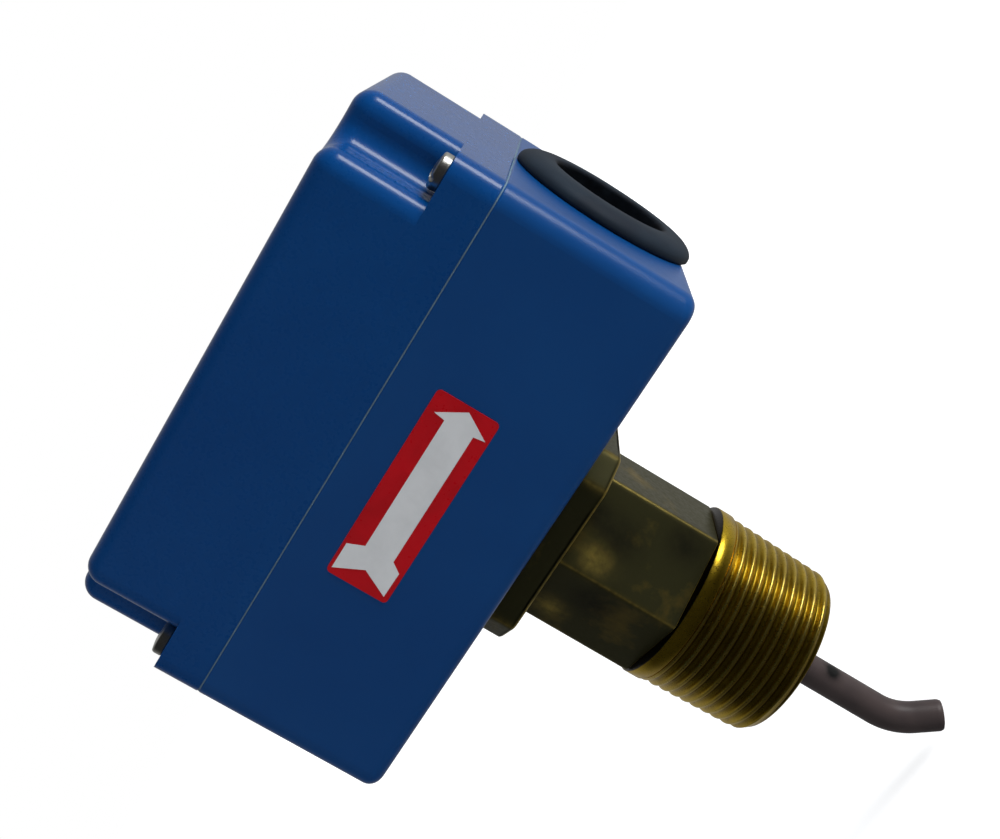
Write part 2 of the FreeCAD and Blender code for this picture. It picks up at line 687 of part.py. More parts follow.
# ---------------------------------------------------------------- lever
def make_lever_sleeve_and_rod():
    """The bent rod, and the closed sleeve that covers its lower part."""
    made = []
    for label, top, radius, tip in (
            ("lever_rod", "rod_top", "rod_radius", "tip_length - tip_cap"),
            ("lever_sleeve", "sleeve_top", "sleeve_radius", "tip_length")):
        body = new_body(label)
        path = new_sketch(body, "XZ")
        bend, turn = size("bend_radius"), math.radians(size("bend_angle"))
        start, elbow = Vector(0, size(top), 0), Vector(0, size("bend_from"), 0)
        middle = Vector(bend, size("bend_from"), 0)
        turned = middle + Vector(-bend * math.cos(turn), -bend * math.sin(turn), 0)
        last = turned + Vector(math.sin(turn), -math.cos(turn), 0) * size("tip_length")
        path.addGeometry(Part.LineSegment(start, elbow), False)
        path.addGeometry(Part.ArcOfCircle(Part.Circle(middle, Vector(0, 0, 1), bend),
                                          math.pi, math.pi + turn), False)
        path.addGeometry(Part.LineSegment(turned, last), False)
        pin_point(path, 0, 1, "0", top)
        pin_point(path, 0, 2, "0", "bend_from")
        path.addConstraint(Sketcher.Constraint("Tangent", 0, 2, 1, 1))
        path.addConstraint(Sketcher.Constraint("Tangent", 1, 2, 2, 1))
        for kind, text, where in (("Radius", "bend_radius", (1,)),
                                  ("Angle", "bend_angle - 90", (2,)),
                                  ("Distance", tip, (2,))):
            value = {"Radius": bend, "Angle": turn - math.pi / 2, "Distance": size("tip_length")}
            index = path.addConstraint(Sketcher.Constraint(kind, *where, value[kind]))
            path.setExpression(f"Constraints[{index}]", formula(text))
        section = new_sketch(body, offset=top)
        circle(section, "0", "0", radius)
        doc.recompute()
        pipe = body.newObject("PartDesign::AdditivePipe", label + "_pipe")
        pipe.Profile = section
        pipe.Spine = (path, ["Edge1", "Edge2", "Edge3"])
        doc.recompute()
        made.append(body)
    return made


def make_hollow_sleeve(solid_sleeve, rod):
    """The sleeve with the rod's space taken out of it."""
    sleeve = less("lever_sleeve_cut", solid_sleeve, rod)
    return sleeve


def make_lever_hub():
    """Block on the rod's top, with a running bore for the pivot pin."""
    body = new_body("lever_hub")
    side = new_sketch(body, "XZ", "-(ear_distance - ear_gap)")
    half = "hub_length / 2"
    outline(side, [(f"-{half} + hub_corner", "hub_bottom"), (f"{half} - hub_corner", "hub_bottom"),
                   (half, "hub_bottom + hub_corner"), (half, "arm_from"), (f"-{half}", "arm_from"),
                   (f"-{half}", "hub_bottom + hub_corner")])
    feature(body, "Pad", side, "(ear_distance - ear_gap) * 2")
    running = new_sketch(body, "XZ", "-ear_distance")
    circle(running, "0", "pivot", "pin_radius + pivot_gap")
    feature(body, "Pocket", running, "ear_distance * 2", backwards=True)
    socket = new_sketch(body, offset="rod_top")
    circle(socket, "0", "0", "rod_radius + sleeve_gap")
    feature(body, "Pocket", socket, "rod_top - hub_bottom + 1")
    return body


def make_switch_arm():
    """Channel on top of the hub: the trip screw at one end, the spring's hook hole at the other."""
    body = new_body("switch_arm")
    section = new_sketch(body, "YZ", "-arm_left")
    half = "arm_width / 2"
    outline(section, [
        (f"-{half}", "arm_from"), (half, "arm_from"), (half, "arm_top + arm_flange"),
        (f"{half} - sheet", "arm_top + arm_flange"), (f"{half} - sheet", "arm_top"),
        (f"-{half} + sheet", "arm_top"), (f"-{half} + sheet", "arm_top + arm_flange"),
        (f"-{half}", "arm_top + arm_flange")])
    feature(body, "Pad", section, "arm_left + arm_right")
    holes = new_sketch(body, offset="arm_top")
    circle(holes, "plunger_place", "0", "small_screw")
    feature(body, "Pocket", holes, "sheet + 1")
    return body


def make_trip_screw():
    """Screw with a rounded tip that presses the plunger, set from below."""
    low = "arm_from - trip_below"
    length = f"plunger_from - trip_gap - ({low})"
    shank = cylinder("trip_shank", "small_screw - seat_gap", f"{length} - small_screw", "plunger_place",
                     "0", low)
    tip = doc.addObject("Part::Sphere", "trip_tip")
    bind(tip, Radius="small_screw - seat_gap")
    place(tip, "plunger_place", "0", "plunger_from - trip_gap - small_screw")
    return joined("trip_screw", [shank, tip])


def make_trip_nut():
    blank = nut_blank("trip_nut_blank", "small_screw * 3.2", "trip_nut_height", "plunger_place",
                      "0", "arm_from - trip_nut_height - seat_gap")
    hole = cylinder("trip_nut_hole", "small_screw", "trip_nut_height * 2", "plunger_place", "0",
                    "arm_from - trip_nut_height * 1.5")
    return less("trip_nut", blank, hole)


# ---------------------------------------------------------------- bracket and pivot
def make_bracket():
    """Folded bracket: foot on the floor, two ears for the pin, a switch plate and a top tab."""
    body = new_body("switch_bracket")
    foot = new_sketch(body, offset="floor_top")
    rectangle(foot, "-bracket_length / 2", "bracket_length / 2", "-bracket_width / 2",
              "bracket_width / 2")
    feature(body, "Pad", foot, "sheet")
    front = new_sketch(body, "XZ", "ear_distance")
    half = "ear_length / 2"
    outline(front, [(f"-{half}", "floor_top"), (half, "floor_top"), (half, "pivot"),
                    (f"{half} - 3", "pivot + ear_top"), (f"-{half} + 3", "pivot + ear_top"),
                    (f"-{half}", "pivot")])
    feature(body, "Pad", front, "sheet")
    back = new_sketch(body, "XZ", "-ear_distance - sheet")
    outline(back, [
        (f"-{half}", "floor_top"), (half, "floor_top"), (half, "pivot + wing_bottom - 4"),
        ("wing_right", "pivot + wing_bottom"), ("wing_right", "tab_from - 3"),
        ("wing_right - 4", "tab_top"), ("-wing_left", "tab_top"),
        ("-wing_left", "tab_from - 12"), (f"-{half}", "pivot + wing_bottom - 4")])
    feature(body, "Pad", back, "sheet")
    tab = new_sketch(body, offset="tab_from")
    rectangle(tab, "-wing_left", "-wing_left + 12", "-spring_radius - 2", "ear_distance + 0.5")
    feature(body, "Pad", tab, "sheet")
    pin_holes = new_sketch(body, "XZ", "-ear_distance * 2")
    circle(pin_holes, "0", "pivot", "pin_radius")
    circle(pin_holes, "switch_left / 24 - switch_screw_pitch / 2", "switch_from + switch_height / 2",
           "flange_screw_radius")
    circle(pin_holes, "switch_left / 24 + switch_screw_pitch / 2", "switch_from + switch_height / 2",
           "flange_screw_radius")
    feature(body, "Pocket", pin_holes, "ear_distance * 4", backwards=True)
    opening = new_sketch(body, offset="foot_top")
    circle(opening, "0", "0", "foot_hole")
    for x, y in signs():
        circle(opening, f"{x}flange_screw_x", f"{y}flange_screw_y", "flange_screw_radius")
    feature(body, "Pocket", opening, "sheet + 1")
    screw_hole = new_sketch(body, offset="tab_top")
    circle(screw_hole, "-range_place", "0", "range_screw_radius + hole_gap")
    feature(body, "Pocket", screw_hole, "sheet + 1")
    return body


def make_pivot_pin():
    return cylinder("pivot_pin", "pin_radius - pin_gap", "(ear_distance + sheet) * 2 + 4", "0",
                    "-ear_distance - sheet - 2", "pivot", "Y")


def make_pin_clips():
    """A retaining clip on each end of the pin."""
    clips = []
    for name, start in (("front", "-ear_distance - sheet - 1"), ("back", "ear_distance + sheet + 0.2")):
        ring = cylinder(f"clip_{name}_disc", "pin_radius + 1.8", "0.8", "0", start, "pivot", "Y")
        hole = cylinder(f"clip_{name}_hole", "pin_radius", "2", "0", f"{start} - 0.6", "pivot", "Y")
        clips.append(less(f"clip_{name}", ring, hole))
    return group("pin_clips", clips)


# ---------------------------------------------------------------- switch
def make_switch_case():
    """Moulded snap-action switch: chamfered block, two screw holes, plunger guide, terminal seats."""
    body = new_body("microswitch_case")
    block_outline = new_sketch(body, "XZ", "-switch_back")
    right = "switch_length - switch_left"
    outline(block_outline, [
        ("-switch_left", "switch_from"), (right, "switch_from"),
        (right, "switch_top - switch_corner"), (f"{right} - switch_corner", "switch_top"),
        ("-switch_left + switch_corner", "switch_top"),
        ("-switch_left", "switch_top - switch_corner")])
    feature(body, "Pad", block_outline, "switch_thickness")
    through = new_sketch(body, "XZ", "-switch_back")
    for sign in "-+":
        circle(through, f"switch_left / 24 {sign} switch_screw_pitch / 2",
               "switch_from + switch_height / 2", "flange_screw_radius")
    feature(body, "Pocket", through, "switch_thickness + 1", backwards=True)
    guide = new_sketch(body, offset="switch_from")
    circle(guide, "plunger_place", "0", "plunger_radius + hole_gap")
    feature(body, "Pocket", guide, "plunger_length - plunger_drop + plunger_travel + 0.6",
            backwards=True)
    seats = new_sketch(body, offset="switch_top")
    for spot in ("terminal_left", "terminal_middle", "terminal_right"):
        circle(seats, spot, "0", "small_screw")
    feature(body, "Pocket", seats, "small_depth")
    return body


def make_plunger():
    body = new_body("switch_plunger")
    half = new_sketch(body, "XZ")
    outline(half, [("0", "plunger_from"), ("plunger_radius - 0.7", "plunger_from"),
                   ("plunger_radius", "plunger_from + 0.7"),
                   ("plunger_radius", "plunger_from + plunger_length"),
                   ("0", "plunger_from + plunger_length")])
    revolved(body, half, "V")
    return bind(body, Placement__Base__x="plunger_place")


def make_insulator():
    sheet_body = block("insulating_sheet_blank", "-switch_left", "switch_back + seat_gap", "switch_from",
                       "switch_length - 2", "insulator_thickness - 2 * seat_gap", "switch_height")
    holes = [cylinder(f"insulator_hole_{n}", "flange_screw_radius", "4",
                      f"switch_left / 24 {sign} switch_screw_pitch / 2", "switch_back - 2",
                      "switch_from + switch_height / 2", "Y") for n, sign in enumerate("-+")]
    return less("insulating_sheet", sheet_body, joined("insulator_holes", holes))


def make_switch_screws():
    screws = []
    for n, sign in enumerate("-+"):
        x = f"switch_left / 24 {sign} switch_screw_pitch / 2"
        z = "switch_from + switch_height / 2"
        head = cylinder(f"switch_screw_head_{n}", "small_head + 0.4", "small_head_height", x,
                        "switch_front - small_head_height - seat_gap", z, "Y")
        shank = cylinder(f"switch_screw_shank_{n}", "flange_screw_radius - seat_gap",
                         "switch_thickness + sheet + 4.5", x, "switch_front - 0.5", z, "Y")
        screws.append(joined(f"switch_screw_{n}", [head, shank]))
    return group("switch_screws", screws)


def make_switch_nuts():
    nuts = []
    for n, sign in enumerate("-+"):
        x = f"switch_left / 24 {sign} switch_screw_pitch / 2"
        z = "switch_from + switch_height / 2"
        blank = nut_blank(f"switch_nut_blank_{n}", "flange_screw_radius * 3.5",
                          "switch_nut_height", x,
                          "ear_distance + sheet + seat_gap", z, "Y")
        hole = cylinder(f"switch_nut_hole_{n}", "flange_screw_radius", "4", x,
                        "ear_distance + sheet - 0.5", z, "Y")
        nuts.append(less(f"switch_nut_{n}", blank, hole))
    return group("switch_nuts", nuts)


def make_terminal(label, spot):
    """Terminal plate with a turned-up tongue at the front, on top of the switch."""
    body = new_body(label)
    side = new_sketch(body, "YZ", f"{spot} - terminal_length / 2")
    half = "terminal_width / 2"
    low, high = "switch_top + seat_gap", "switch_top + terminal_thickness"
    outline(side, [(f"-{half}", low), (half, low), (half, high),
                   (f"-{half} + terminal_thickness", high),
                   (f"-{half} + terminal_thickness", f"{high} + terminal_tongue"),
                   (f"-{half}", f"{high} + terminal_tongue")])
    feature(body, "Pad", side, "terminal_length")
    hole = new_sketch(body, offset="switch_top + 2")
    circle(hole, spot, "0", "small_screw")
    feature(body, "Pocket", hole, "2.5")
    return body


def make_terminal_screws():
    screws = [headed_screw(f"terminal_screw_{n}", "small_screw - seat_gap", "small_depth", "small_head",
                           "small_head_height", spot, "0", "switch_top + terminal_thickness + seat_gap")
              for n, spot in enumerate(("terminal_left", "terminal_middle", "terminal_right"))]
    return group("terminal_screws", screws)


# ---------------------------------------------------------------- range adjustment
def make_range_nut():
    """Nut that the switch plate behind it keeps from turning."""
    blank = block("range_nut_blank", "-range_place - nut_side / 2", "-nut_side / 2", "nut_from",
                  "nut_side", "ear_distance - ear_gap + nut_side / 2", "nut_height")
    hole = cylinder("range_nut_hole", "range_screw_radius + pivot_gap", "nut_height + 2",
                    "-range_place", "0", "nut_from - 1")
    return less("range_nut", blank, hole)


def make_range_screw():
    """Screw held in the bracket's tab by its knurled head and a collar below the tab."""
    low = "nut_from - range_tail"
    shank = cylinder("range_shank", "range_screw_radius", f"tab_top + 0.5 - ({low})", "-range_place",
                     "0", low)
    head = cylinder("range_head", "range_head_radius", "range_head_height", "-range_place", "0",
                    "tab_top + hole_gap")
    collar = cylinder("range_collar", "range_screw_radius + 1", "1.2", "-range_place", "0",
                      "tab_from - 1.3")
    slot = block("range_slot", "-range_place - range_head_radius", "-0.6",
                 "tab_top + range_head_height - 1", "range_head_radius * 2", "1.2", "3")
    return less("range_screw", joined("range_screw_blank", [shank, head, collar]), slot)


def make_range_spring():
    """Tension spring between the arm and the nut, as the tube that its coils fill."""
    outside = cylinder("spring_outside", "spring_radius", "spring_length", "-range_place", "0",
                       "arm_top + 0.15")
    inside = cylinder("spring_inside", "spring_radius - spring_wire", "spring_length + 2",
                      "-range_place", "0", "arm_top - 0.85")
    return less("range_spring", outside, inside)


def make_earth_screw():
    return headed_screw("earth_screw", "small_screw - seat_gap", "small_depth - 0.4", "small_head + 0.5",
                        "small_head_height", "earth_x", "-earth_y",
                        "floor_top + earth_boss_height + seat_gap")


# ---------------------------------------------------------------- build and export
rod, solid_sleeve = make_lever_sleeve_and_rod()
parts = {
    "base_housing": make_base_housing(),
    "cover": make_cover(),
    "cover_gasket": make_cover_gasket(),
    "cover_screws": make_cover_screws(),
    "conduit_grommet": make_grommet(),
    "flow_label": make_label(),
    "brass_body": make_brass_body(),
    "flange_gasket": make_flange_gasket(),
    "flange_screws": make_flange_screws(),
    "lever_seal": make_lever_seal(),
    "lever_rod": rod,
    "lever_sleeve": make_hollow_sleeve(solid_sleeve, rod),
    "lever_hub": make_lever_hub(),
    "switch_arm": make_switch_arm(),
    "trip_screw": make_trip_screw(),
    "trip_nut": make_trip_nut(),
    "switch_bracket": make_bracket(),
    "pivot_pin": make_pivot_pin(),
    "pin_clips": make_pin_clips(),
    "microswitch_case": make_switch_case(),
    "switch_plunger": make_plunger(),
    "insulating_sheet": make_insulator(),
    "switch_screws": make_switch_screws(),
    "switch_nuts": make_switch_nuts(),
    "terminal_common": make_terminal("terminal_common", "terminal_left"),
    "terminal_closed": make_terminal("terminal_closed", "terminal_middle"),
    "terminal_open": make_terminal("terminal_open", "terminal_right"),
    "terminal_screws": make_terminal_screws(),
    "range_nut": make_range_nut(),
    "range_screw": make_range_screw(),
    "range_spring": make_range_spring(),
    "earth_screw": make_earth_screw(),
}
doc.recompute()

for thing in doc.Objects:
    if "Invalid" in thing.State or "Error" in thing.State:
        raise RuntimeError(f"{thing.Name} failed: {thing.State}")
for node, part in parts.items():
    if part.Shape.isNull() or not part.Shape.isValid():
        raise RuntimeError(f"{node} has no valid shape")

os.makedirs("parts", exist_ok=True)
for node, part in parts.items():
    part.Shape.exportStep(f"parts/{node}.step")
    print(f"{node}: {len(part.Shape.Solids)} solid(s), {part.Shape.Volume:.0f} mm3")
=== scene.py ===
# %% [markdown]
# # A flow switch with a bent lever
# The switch is a blue metal case on a brass body with a pipe thread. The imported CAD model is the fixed
# frame: it gives every size and place. Blender adds the surfaces that CAD leaves plain, such as the
# thread, the screw heads and the coils of the spring, and it gives each part its finish.

# %% Load the frame
import json
import math

import bmesh
import bpy
import numpy as np
from mathutils import Matrix, Vector


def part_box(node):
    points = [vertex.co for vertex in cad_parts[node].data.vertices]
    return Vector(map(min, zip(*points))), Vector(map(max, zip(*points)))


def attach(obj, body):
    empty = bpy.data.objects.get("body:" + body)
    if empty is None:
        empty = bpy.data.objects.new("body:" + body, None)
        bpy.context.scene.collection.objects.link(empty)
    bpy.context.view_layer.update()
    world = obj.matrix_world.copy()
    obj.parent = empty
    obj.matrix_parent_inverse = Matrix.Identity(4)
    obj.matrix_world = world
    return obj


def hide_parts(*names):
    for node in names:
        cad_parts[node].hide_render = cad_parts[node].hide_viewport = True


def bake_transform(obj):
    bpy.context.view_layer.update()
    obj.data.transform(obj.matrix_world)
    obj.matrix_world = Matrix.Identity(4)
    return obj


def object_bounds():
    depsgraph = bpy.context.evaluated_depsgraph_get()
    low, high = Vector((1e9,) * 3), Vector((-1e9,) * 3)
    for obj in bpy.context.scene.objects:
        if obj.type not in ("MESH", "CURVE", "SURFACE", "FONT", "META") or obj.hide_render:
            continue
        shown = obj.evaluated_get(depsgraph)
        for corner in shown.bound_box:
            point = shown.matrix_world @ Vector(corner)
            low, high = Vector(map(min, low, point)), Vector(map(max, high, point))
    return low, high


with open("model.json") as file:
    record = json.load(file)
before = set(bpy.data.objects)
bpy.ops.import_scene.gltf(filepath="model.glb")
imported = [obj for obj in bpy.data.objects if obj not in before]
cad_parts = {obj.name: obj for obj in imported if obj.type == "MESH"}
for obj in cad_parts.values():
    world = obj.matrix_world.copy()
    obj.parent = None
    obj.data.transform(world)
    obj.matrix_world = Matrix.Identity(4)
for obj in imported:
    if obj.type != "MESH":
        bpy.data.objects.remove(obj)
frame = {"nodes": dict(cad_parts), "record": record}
cad_low, cad_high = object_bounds()
nodes = frame["nodes"]
MM = 0.001
print("CAD box in mm:", [round(v / MM, 1) for v in (*cad_low, *cad_high)])

# %% [markdown]
# ## Camera
# The switch is looked at from its label side. Its own up, from the pipe to the cover, points to the left
# and a little down, so the camera is rolled by about a quarter turn. A camera can be aimed with angles or
# with a constraint. Here its three axes are written out as a matrix, because the roll is then exact.

# %% Camera
CAMERA_PLACE = (0.0828, -0.2393, 0.0878)
CAMERA_RIGHT = (0.5185, 0.0508, -0.8536)
CAMERA_UP = (0.8063, 0.3034, 0.5078)
CAMERA_BACK = (0.2848, -0.9515, 0.1164)
LENS_MM = 50.56


def aimed_camera(place, right, up, back, lens):
    """A camera at place whose own X, Y and Z axes are right, up and back."""
    data = bpy.data.cameras.new("camera")
    data.lens = lens
    data.sensor_width = 36
    data.clip_start, data.clip_end = 0.01, 20
    camera = bpy.data.objects.new("camera", data)
    turn = Matrix((right, up, back)).transposed().to_4x4()
    camera.matrix_world = Matrix.Translation(place) @ turn
    bpy.context.scene.collection.objects.link(camera)
    return camera


bpy.context.scene.camera = aimed_camera(CAMERA_PLACE, CAMERA_RIGHT, CAMERA_UP, CAMERA_BACK, LENS_MM)
print("camera distance from the thread axis:", round(math.hypot(*CAMERA_PLACE[:2]), 3), "m")

# %% [markdown]
# ## Light, floor and background
# A small product is usually lit by one large soft lamp and filled by the room. The key lamp stands beyond
# the conduit end, so the rounded edges there catch a soft streak. It is weak, because glossy enamel
# mirrors it, and a key fill that reflections don't show adds the rest of its light. The world is white
# where it is seen directly, lights the object at a plain level, and is graded from a lit side behind to a
# dark side in front where it is reflected. The floor is pale, and keeps a soft shadow.

# %% World
ROOM_LEVEL = 0.42
DARK_SIDE = 0.02
LIT_SIDE = 0.42
GRADE_FROM, GRADE_TO = -0.35, 0.95


def studio_world(level, dark_side, lit_side):
    """White where it is seen directly, and plain light of that level otherwise. In reflections it goes
    from lit_side behind the switch (+Y) to dark_side in front of it, where the room is not lit."""
    world = bpy.data.worlds.new("studio")
    world.use_nodes = True
    tree = world.node_tree
    tree.nodes.clear()
    path = tree.nodes.new("ShaderNodeLightPath")
    reflected = tree.nodes.new("ShaderNodeMath")
    reflected.operation = "MAXIMUM"
    tree.links.new(path.outputs["Is Glossy Ray"], reflected.inputs[0])
    tree.links.new(path.outputs["Is Transmission Ray"], reflected.inputs[1])
    direction = tree.nodes.new("ShaderNodeTexCoord")
    parts = tree.nodes.new("ShaderNodeSeparateXYZ")
    tree.links.new(direction.outputs["Generated"], parts.inputs[0])
    shade = tree.nodes.new("ShaderNodeMapRange")
    shade.interpolation_type = "SMOOTHSTEP"
    for label, value in (("From Min", GRADE_FROM), ("From Max", GRADE_TO),
                         ("To Min", dark_side), ("To Max", lit_side)):
        shade.inputs[label].default_value = value
    tree.links.new(parts.outputs["Y"], shade.inputs["Value"])
    room, behind, white = (tree.nodes.new("ShaderNodeBackground") for _ in range(3))
    room.inputs["Color"].default_value = (0.93, 0.96, 1, 1)
    room.inputs["Strength"].default_value = level
    tree.links.new(shade.outputs["Result"], behind.inputs["Strength"])
    for lit in (behind, white):
        lit.inputs["Color"].default_value = (1, 1, 1, 1)
    white.inputs["Strength"].default_value = 1
    mirrored, seen = (tree.nodes.new("ShaderNodeMixShader") for _ in range(2))
    tree.links.new(reflected.outputs[0], mirrored.inputs[0])
    tree.links.new(room.outputs[0], mirrored.inputs[1])
    tree.links.new(behind.outputs[0], mirrored.inputs[2])
    tree.links.new(path.outputs["Is Camera Ray"], seen.inputs[0])
    tree.links.new(mirrored.outputs[0], seen.inputs[1])
    tree.links.new(white.outputs[0], seen.inputs[2])
    out = tree.nodes.new("ShaderNodeOutputWorld")
    tree.links.new(seen.outputs[0], out.inputs["Surface"])
    return world


scene = bpy.context.scene
scene.world = studio_world(ROOM_LEVEL, DARK_SIDE, LIT_SIDE)
scene.view_settings.view_transform = "Standard"
print("room level:", ROOM_LEVEL)

# %% Lamps
TARGET = Vector((0.0, 0.0, 0.06))


def soft_lamp(name, place, side, level, glossy=True):
    """A square area lamp aimed at the switch. level is how bright it makes a white surface that faces it:
    a lamp of P watts at distance d gives P / (pi d)^2, so P = level * (pi d)^2."""
    data = bpy.data.lights.new(name, "AREA")
    data.shape = "SQUARE"
    data.size = side
    to_target = TARGET - Vector(place)
    data.energy = level * (math.pi * to_target.length) ** 2
    lamp = bpy.data.objects.new(name, data)
    lamp.matrix_world = Matrix.Translation(place) @ to_target.to_track_quat("-Z", "Y").to_matrix().to_4x4()
    lamp.visible_glossy = glossy
    scene.collection.objects.link(lamp)
    print(name, "gives", round(data.energy, 2), "W")


soft_lamp("key_lamp", (1.0, 0.0, 0.14), 0.30, 0.40)
soft_lamp("key_fill", (1.0, -0.12, 0.16), 0.36, 1.2, glossy=False)
soft_lamp("front_fill", (-0.9, -1.0, 0.30), 1.2, 0.28, glossy=False)
soft_lamp("back_fill", (-0.2, 1.0, 0.5), 0.8, 0.30, glossy=False)

# %% Floor
FLOOR_HALF_WIDTH = 3.0
NEAR_LIFT, FAR_LIFT = 0.46, 0.80
NEAR_DISTANCE, FAR_DISTANCE = 0.25, 1.4
FLOOR_GAP = 1 * MM


def pale_floor(height):
    """A wide square at that height, lifted for the camera so that it is white where nothing shades it.
    The lamps light it less far away, so the lift grows with the distance from the middle."""
    w = FLOOR_HALF_WIDTH
    mesh = bpy.data.meshes.new("floor")
    mesh.from_pydata([(-w, -w, height), (w, -w, height), (w, w, height), (-w, w, height)], [], [(0, 1, 2, 3)])
    material = bpy.data.materials.new("floor_paper")
    material.use_nodes = True
    tree = material.node_tree
    shader = tree.nodes["Principled BSDF"]
    shader.inputs["Base Color"].default_value = (0.9, 0.9, 0.9, 1)
    shader.inputs["Roughness"].default_value = 1
    shader.inputs["Specular IOR Level"].default_value = 0
    path = tree.nodes.new("ShaderNodeLightPath")
    lift = tree.nodes.new("ShaderNodeMath")
    lift.operation = "MULTIPLY"
    tree.links.new(path.outputs["Is Camera Ray"], lift.inputs[0])
    place = tree.nodes.new("ShaderNodeTexCoord")
    distance = tree.nodes.new("ShaderNodeVectorMath")
    distance.operation = "LENGTH"
    growth = tree.nodes.new("ShaderNodeMapRange")
    for label, value in (("From Min", NEAR_DISTANCE), ("From Max", FAR_DISTANCE),
                         ("To Min", NEAR_LIFT), ("To Max", FAR_LIFT)):
        growth.inputs[label].default_value = value
    tree.links.new(place.outputs["Object"], distance.inputs[0])
    tree.links.new(distance.outputs["Value"], growth.inputs["Value"])
    tree.links.new(growth.outputs["Result"], lift.inputs[1])
    shader.inputs["Emission Color"].default_value = (1, 1, 1, 1)
    tree.links.new(lift.outputs[0], shader.inputs["Emission Strength"])
    mesh.materials.append(material)
    floor = bpy.data.objects.new("floor", mesh)
    floor.visible_glossy = False
    scene.collection.objects.link(floor)
    return floor


pale_floor(cad_low.z - FLOOR_GAP)
print("floor height:", round(cad_low.z - FLOOR_GAP, 4))

# %% [markdown]
# ## Small helpers for surfaces
# Each new piece is a grid of points worked out with numpy: rows run along a profile and columns run round
# it. One helper joins a grid into quads, and another makes the object and lets it ride on a CAD body.


# %% Grid helpers
def grid_quads(rows, columns, start=0, loop=False):
    """Quads of a grid whose columns close round. With loop, the last row joins the first one too."""
    r = np.arange(rows if loop else rows - 1)[:, None]
    c = np.arange(columns)[None, :]
    after, beside = (r + 1) % rows, (c + 1) % columns
    quads = np.stack(np.broadcast_arrays(
        r * columns + c, r * columns + beside, after * columns + beside, after * columns + c), -1)
    return quads.reshape(-1, 4) + start


def joined_grids(grids, loop=False):
    """Points and quads of several grids of the same kind, as one shape."""
    points, quads, start = [], [], 0
    for grid in grids:
        rows, columns = grid.shape[:2]
        quads.append(grid_quads(rows, columns, start, loop))
        points.append(grid.reshape(-1, 3))
        start += rows * columns
    return np.concatenate(points), np.concatenate(quads)


def piece(name, points, faces, body, slot, material, replaces=(), sharp_deg=35, **values):
    """A mesh object from points in metres. Its doubles are merged, which closes poles, and its normals are
    turned outwards. values are attributes per point, which the edge wear and the grime and painted shade
    read."""
    mesh = bpy.data.meshes.new(name)
    mesh.from_pydata(np.asarray(points).tolist(), [], [tuple(f) for f in np.asarray(faces).tolist()]
                     if isinstance(faces, np.ndarray) else faces)
    for label, value in values.items():
        layer = mesh.attributes.new(label, "FLOAT", "POINT")
        layer.data.foreach_set("value", np.asarray(value, np.float32).ravel())
    shape = bmesh.new()
    shape.from_mesh(mesh)
    bmesh.ops.remove_doubles(shape, verts=shape.verts, dist=0.002 * MM)
    bmesh.ops.dissolve_degenerate(shape, edges=shape.edges, dist=0.0005 * MM)
    bmesh.ops.recalc_face_normals(shape, faces=shape.faces)
    shape.to_mesh(mesh)
    shape.free()
    mesh.polygons.foreach_set("use_smooth", np.ones(len(mesh.polygons), bool))
    mesh.set_sharp_from_angle(angle=math.radians(sharp_deg))
    mesh.materials.append(material)
    made = bpy.data.objects.new(name, mesh)
    scene.collection.objects.link(made)
    if body is not None:
        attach(made, body)
    for node in replaces:
        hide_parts(node)
    print(name, len(mesh.polygons), "faces on", body or "two bodies")
    return made


def smooth_step(t):
    """3t^2 - 2t^3 between 0 and 1."""
    t = np.clip(t, 0, 1)
    return t * t * (3 - 2 * t)


def turned(profile, columns=64):
    """A profile of (radius, height) points turned round Z: x = r cos a, y = r sin a, z = height."""
    angle = np.linspace(0, 2 * np.pi, columns, endpoint=False)
    radius, height = np.array(profile, float).T
    return np.stack([np.outer(radius, np.cos(angle)), np.outer(radius, np.sin(angle)),
                     np.outer(height, np.ones(columns))], -1)


def tube_along(path, radius, reference, sides=12, closed=False):
    """Circles round each point of a path, square to its direction d. Their own axes are d x reference and
    d x (d x reference), so the tube does not twist. radius may change from point to point."""
    after, before = np.roll(path, -1, 0), np.roll(path, 1, 0)
    if not closed:
        after[-1], before[0] = path[-1], path[0]
    along = after - before
    along /= np.linalg.norm(along, axis=1, keepdims=True)
    side = np.cross(along, reference)
    side /= np.linalg.norm(side, axis=1, keepdims=True)
    other = np.cross(along, side)
    angle = np.linspace(0, 2 * np.pi, sides, endpoint=False)
    reach = np.broadcast_to(radius, len(path))[:, None, None]
    ring = side[:, None] * np.cos(angle)[None, :, None] + other[:, None] * np.sin(angle)[None, :, None]
    return path[:, None] + reach * ring


# %% [markdown]
# ## Effects that several finishes share
# An effect is a shader node group, built once and placed in each material with that material's own values.
# Real finishes are never one flat colour, so each gets at least a second tone in soft clouds and a fine
# grain that moves both its gloss and its height.


# %% Node helpers
def add_node(tree, kind, settings=None, **inputs):
    """A node of that kind. Settings are its properties, and inputs are values or sockets by input name."""
    made = tree.nodes.new(kind)
    for key, value in (settings or {}).items():
        setattr(made, key, value)
    for key, value in inputs.items():
        socket = made.inputs[int(key[1:])] if key[1:].isdigit() else made.inputs[key.replace("_", " ")]
        if isinstance(value, bpy.types.NodeSocket):
            tree.links.new(value, socket)
        else:
            socket.default_value = value
    return made


def effect_group(name, inputs, outputs):
    """An empty node group with those named sockets, and its two end nodes."""
    tree = bpy.data.node_groups.new(name, "ShaderNodeTree")
    kinds = {"colour": "NodeSocketColor", "value": "NodeSocketFloat"}
    for label, kind in inputs:
        tree.interface.new_socket(label, in_out="INPUT", socket_type=kinds[kind])
    for label, kind in outputs:
        tree.interface.new_socket(label, in_out="OUTPUT", socket_type=kinds[kind])
    return tree, tree.nodes.new("NodeGroupInput"), tree.nodes.new("NodeGroupOutput")


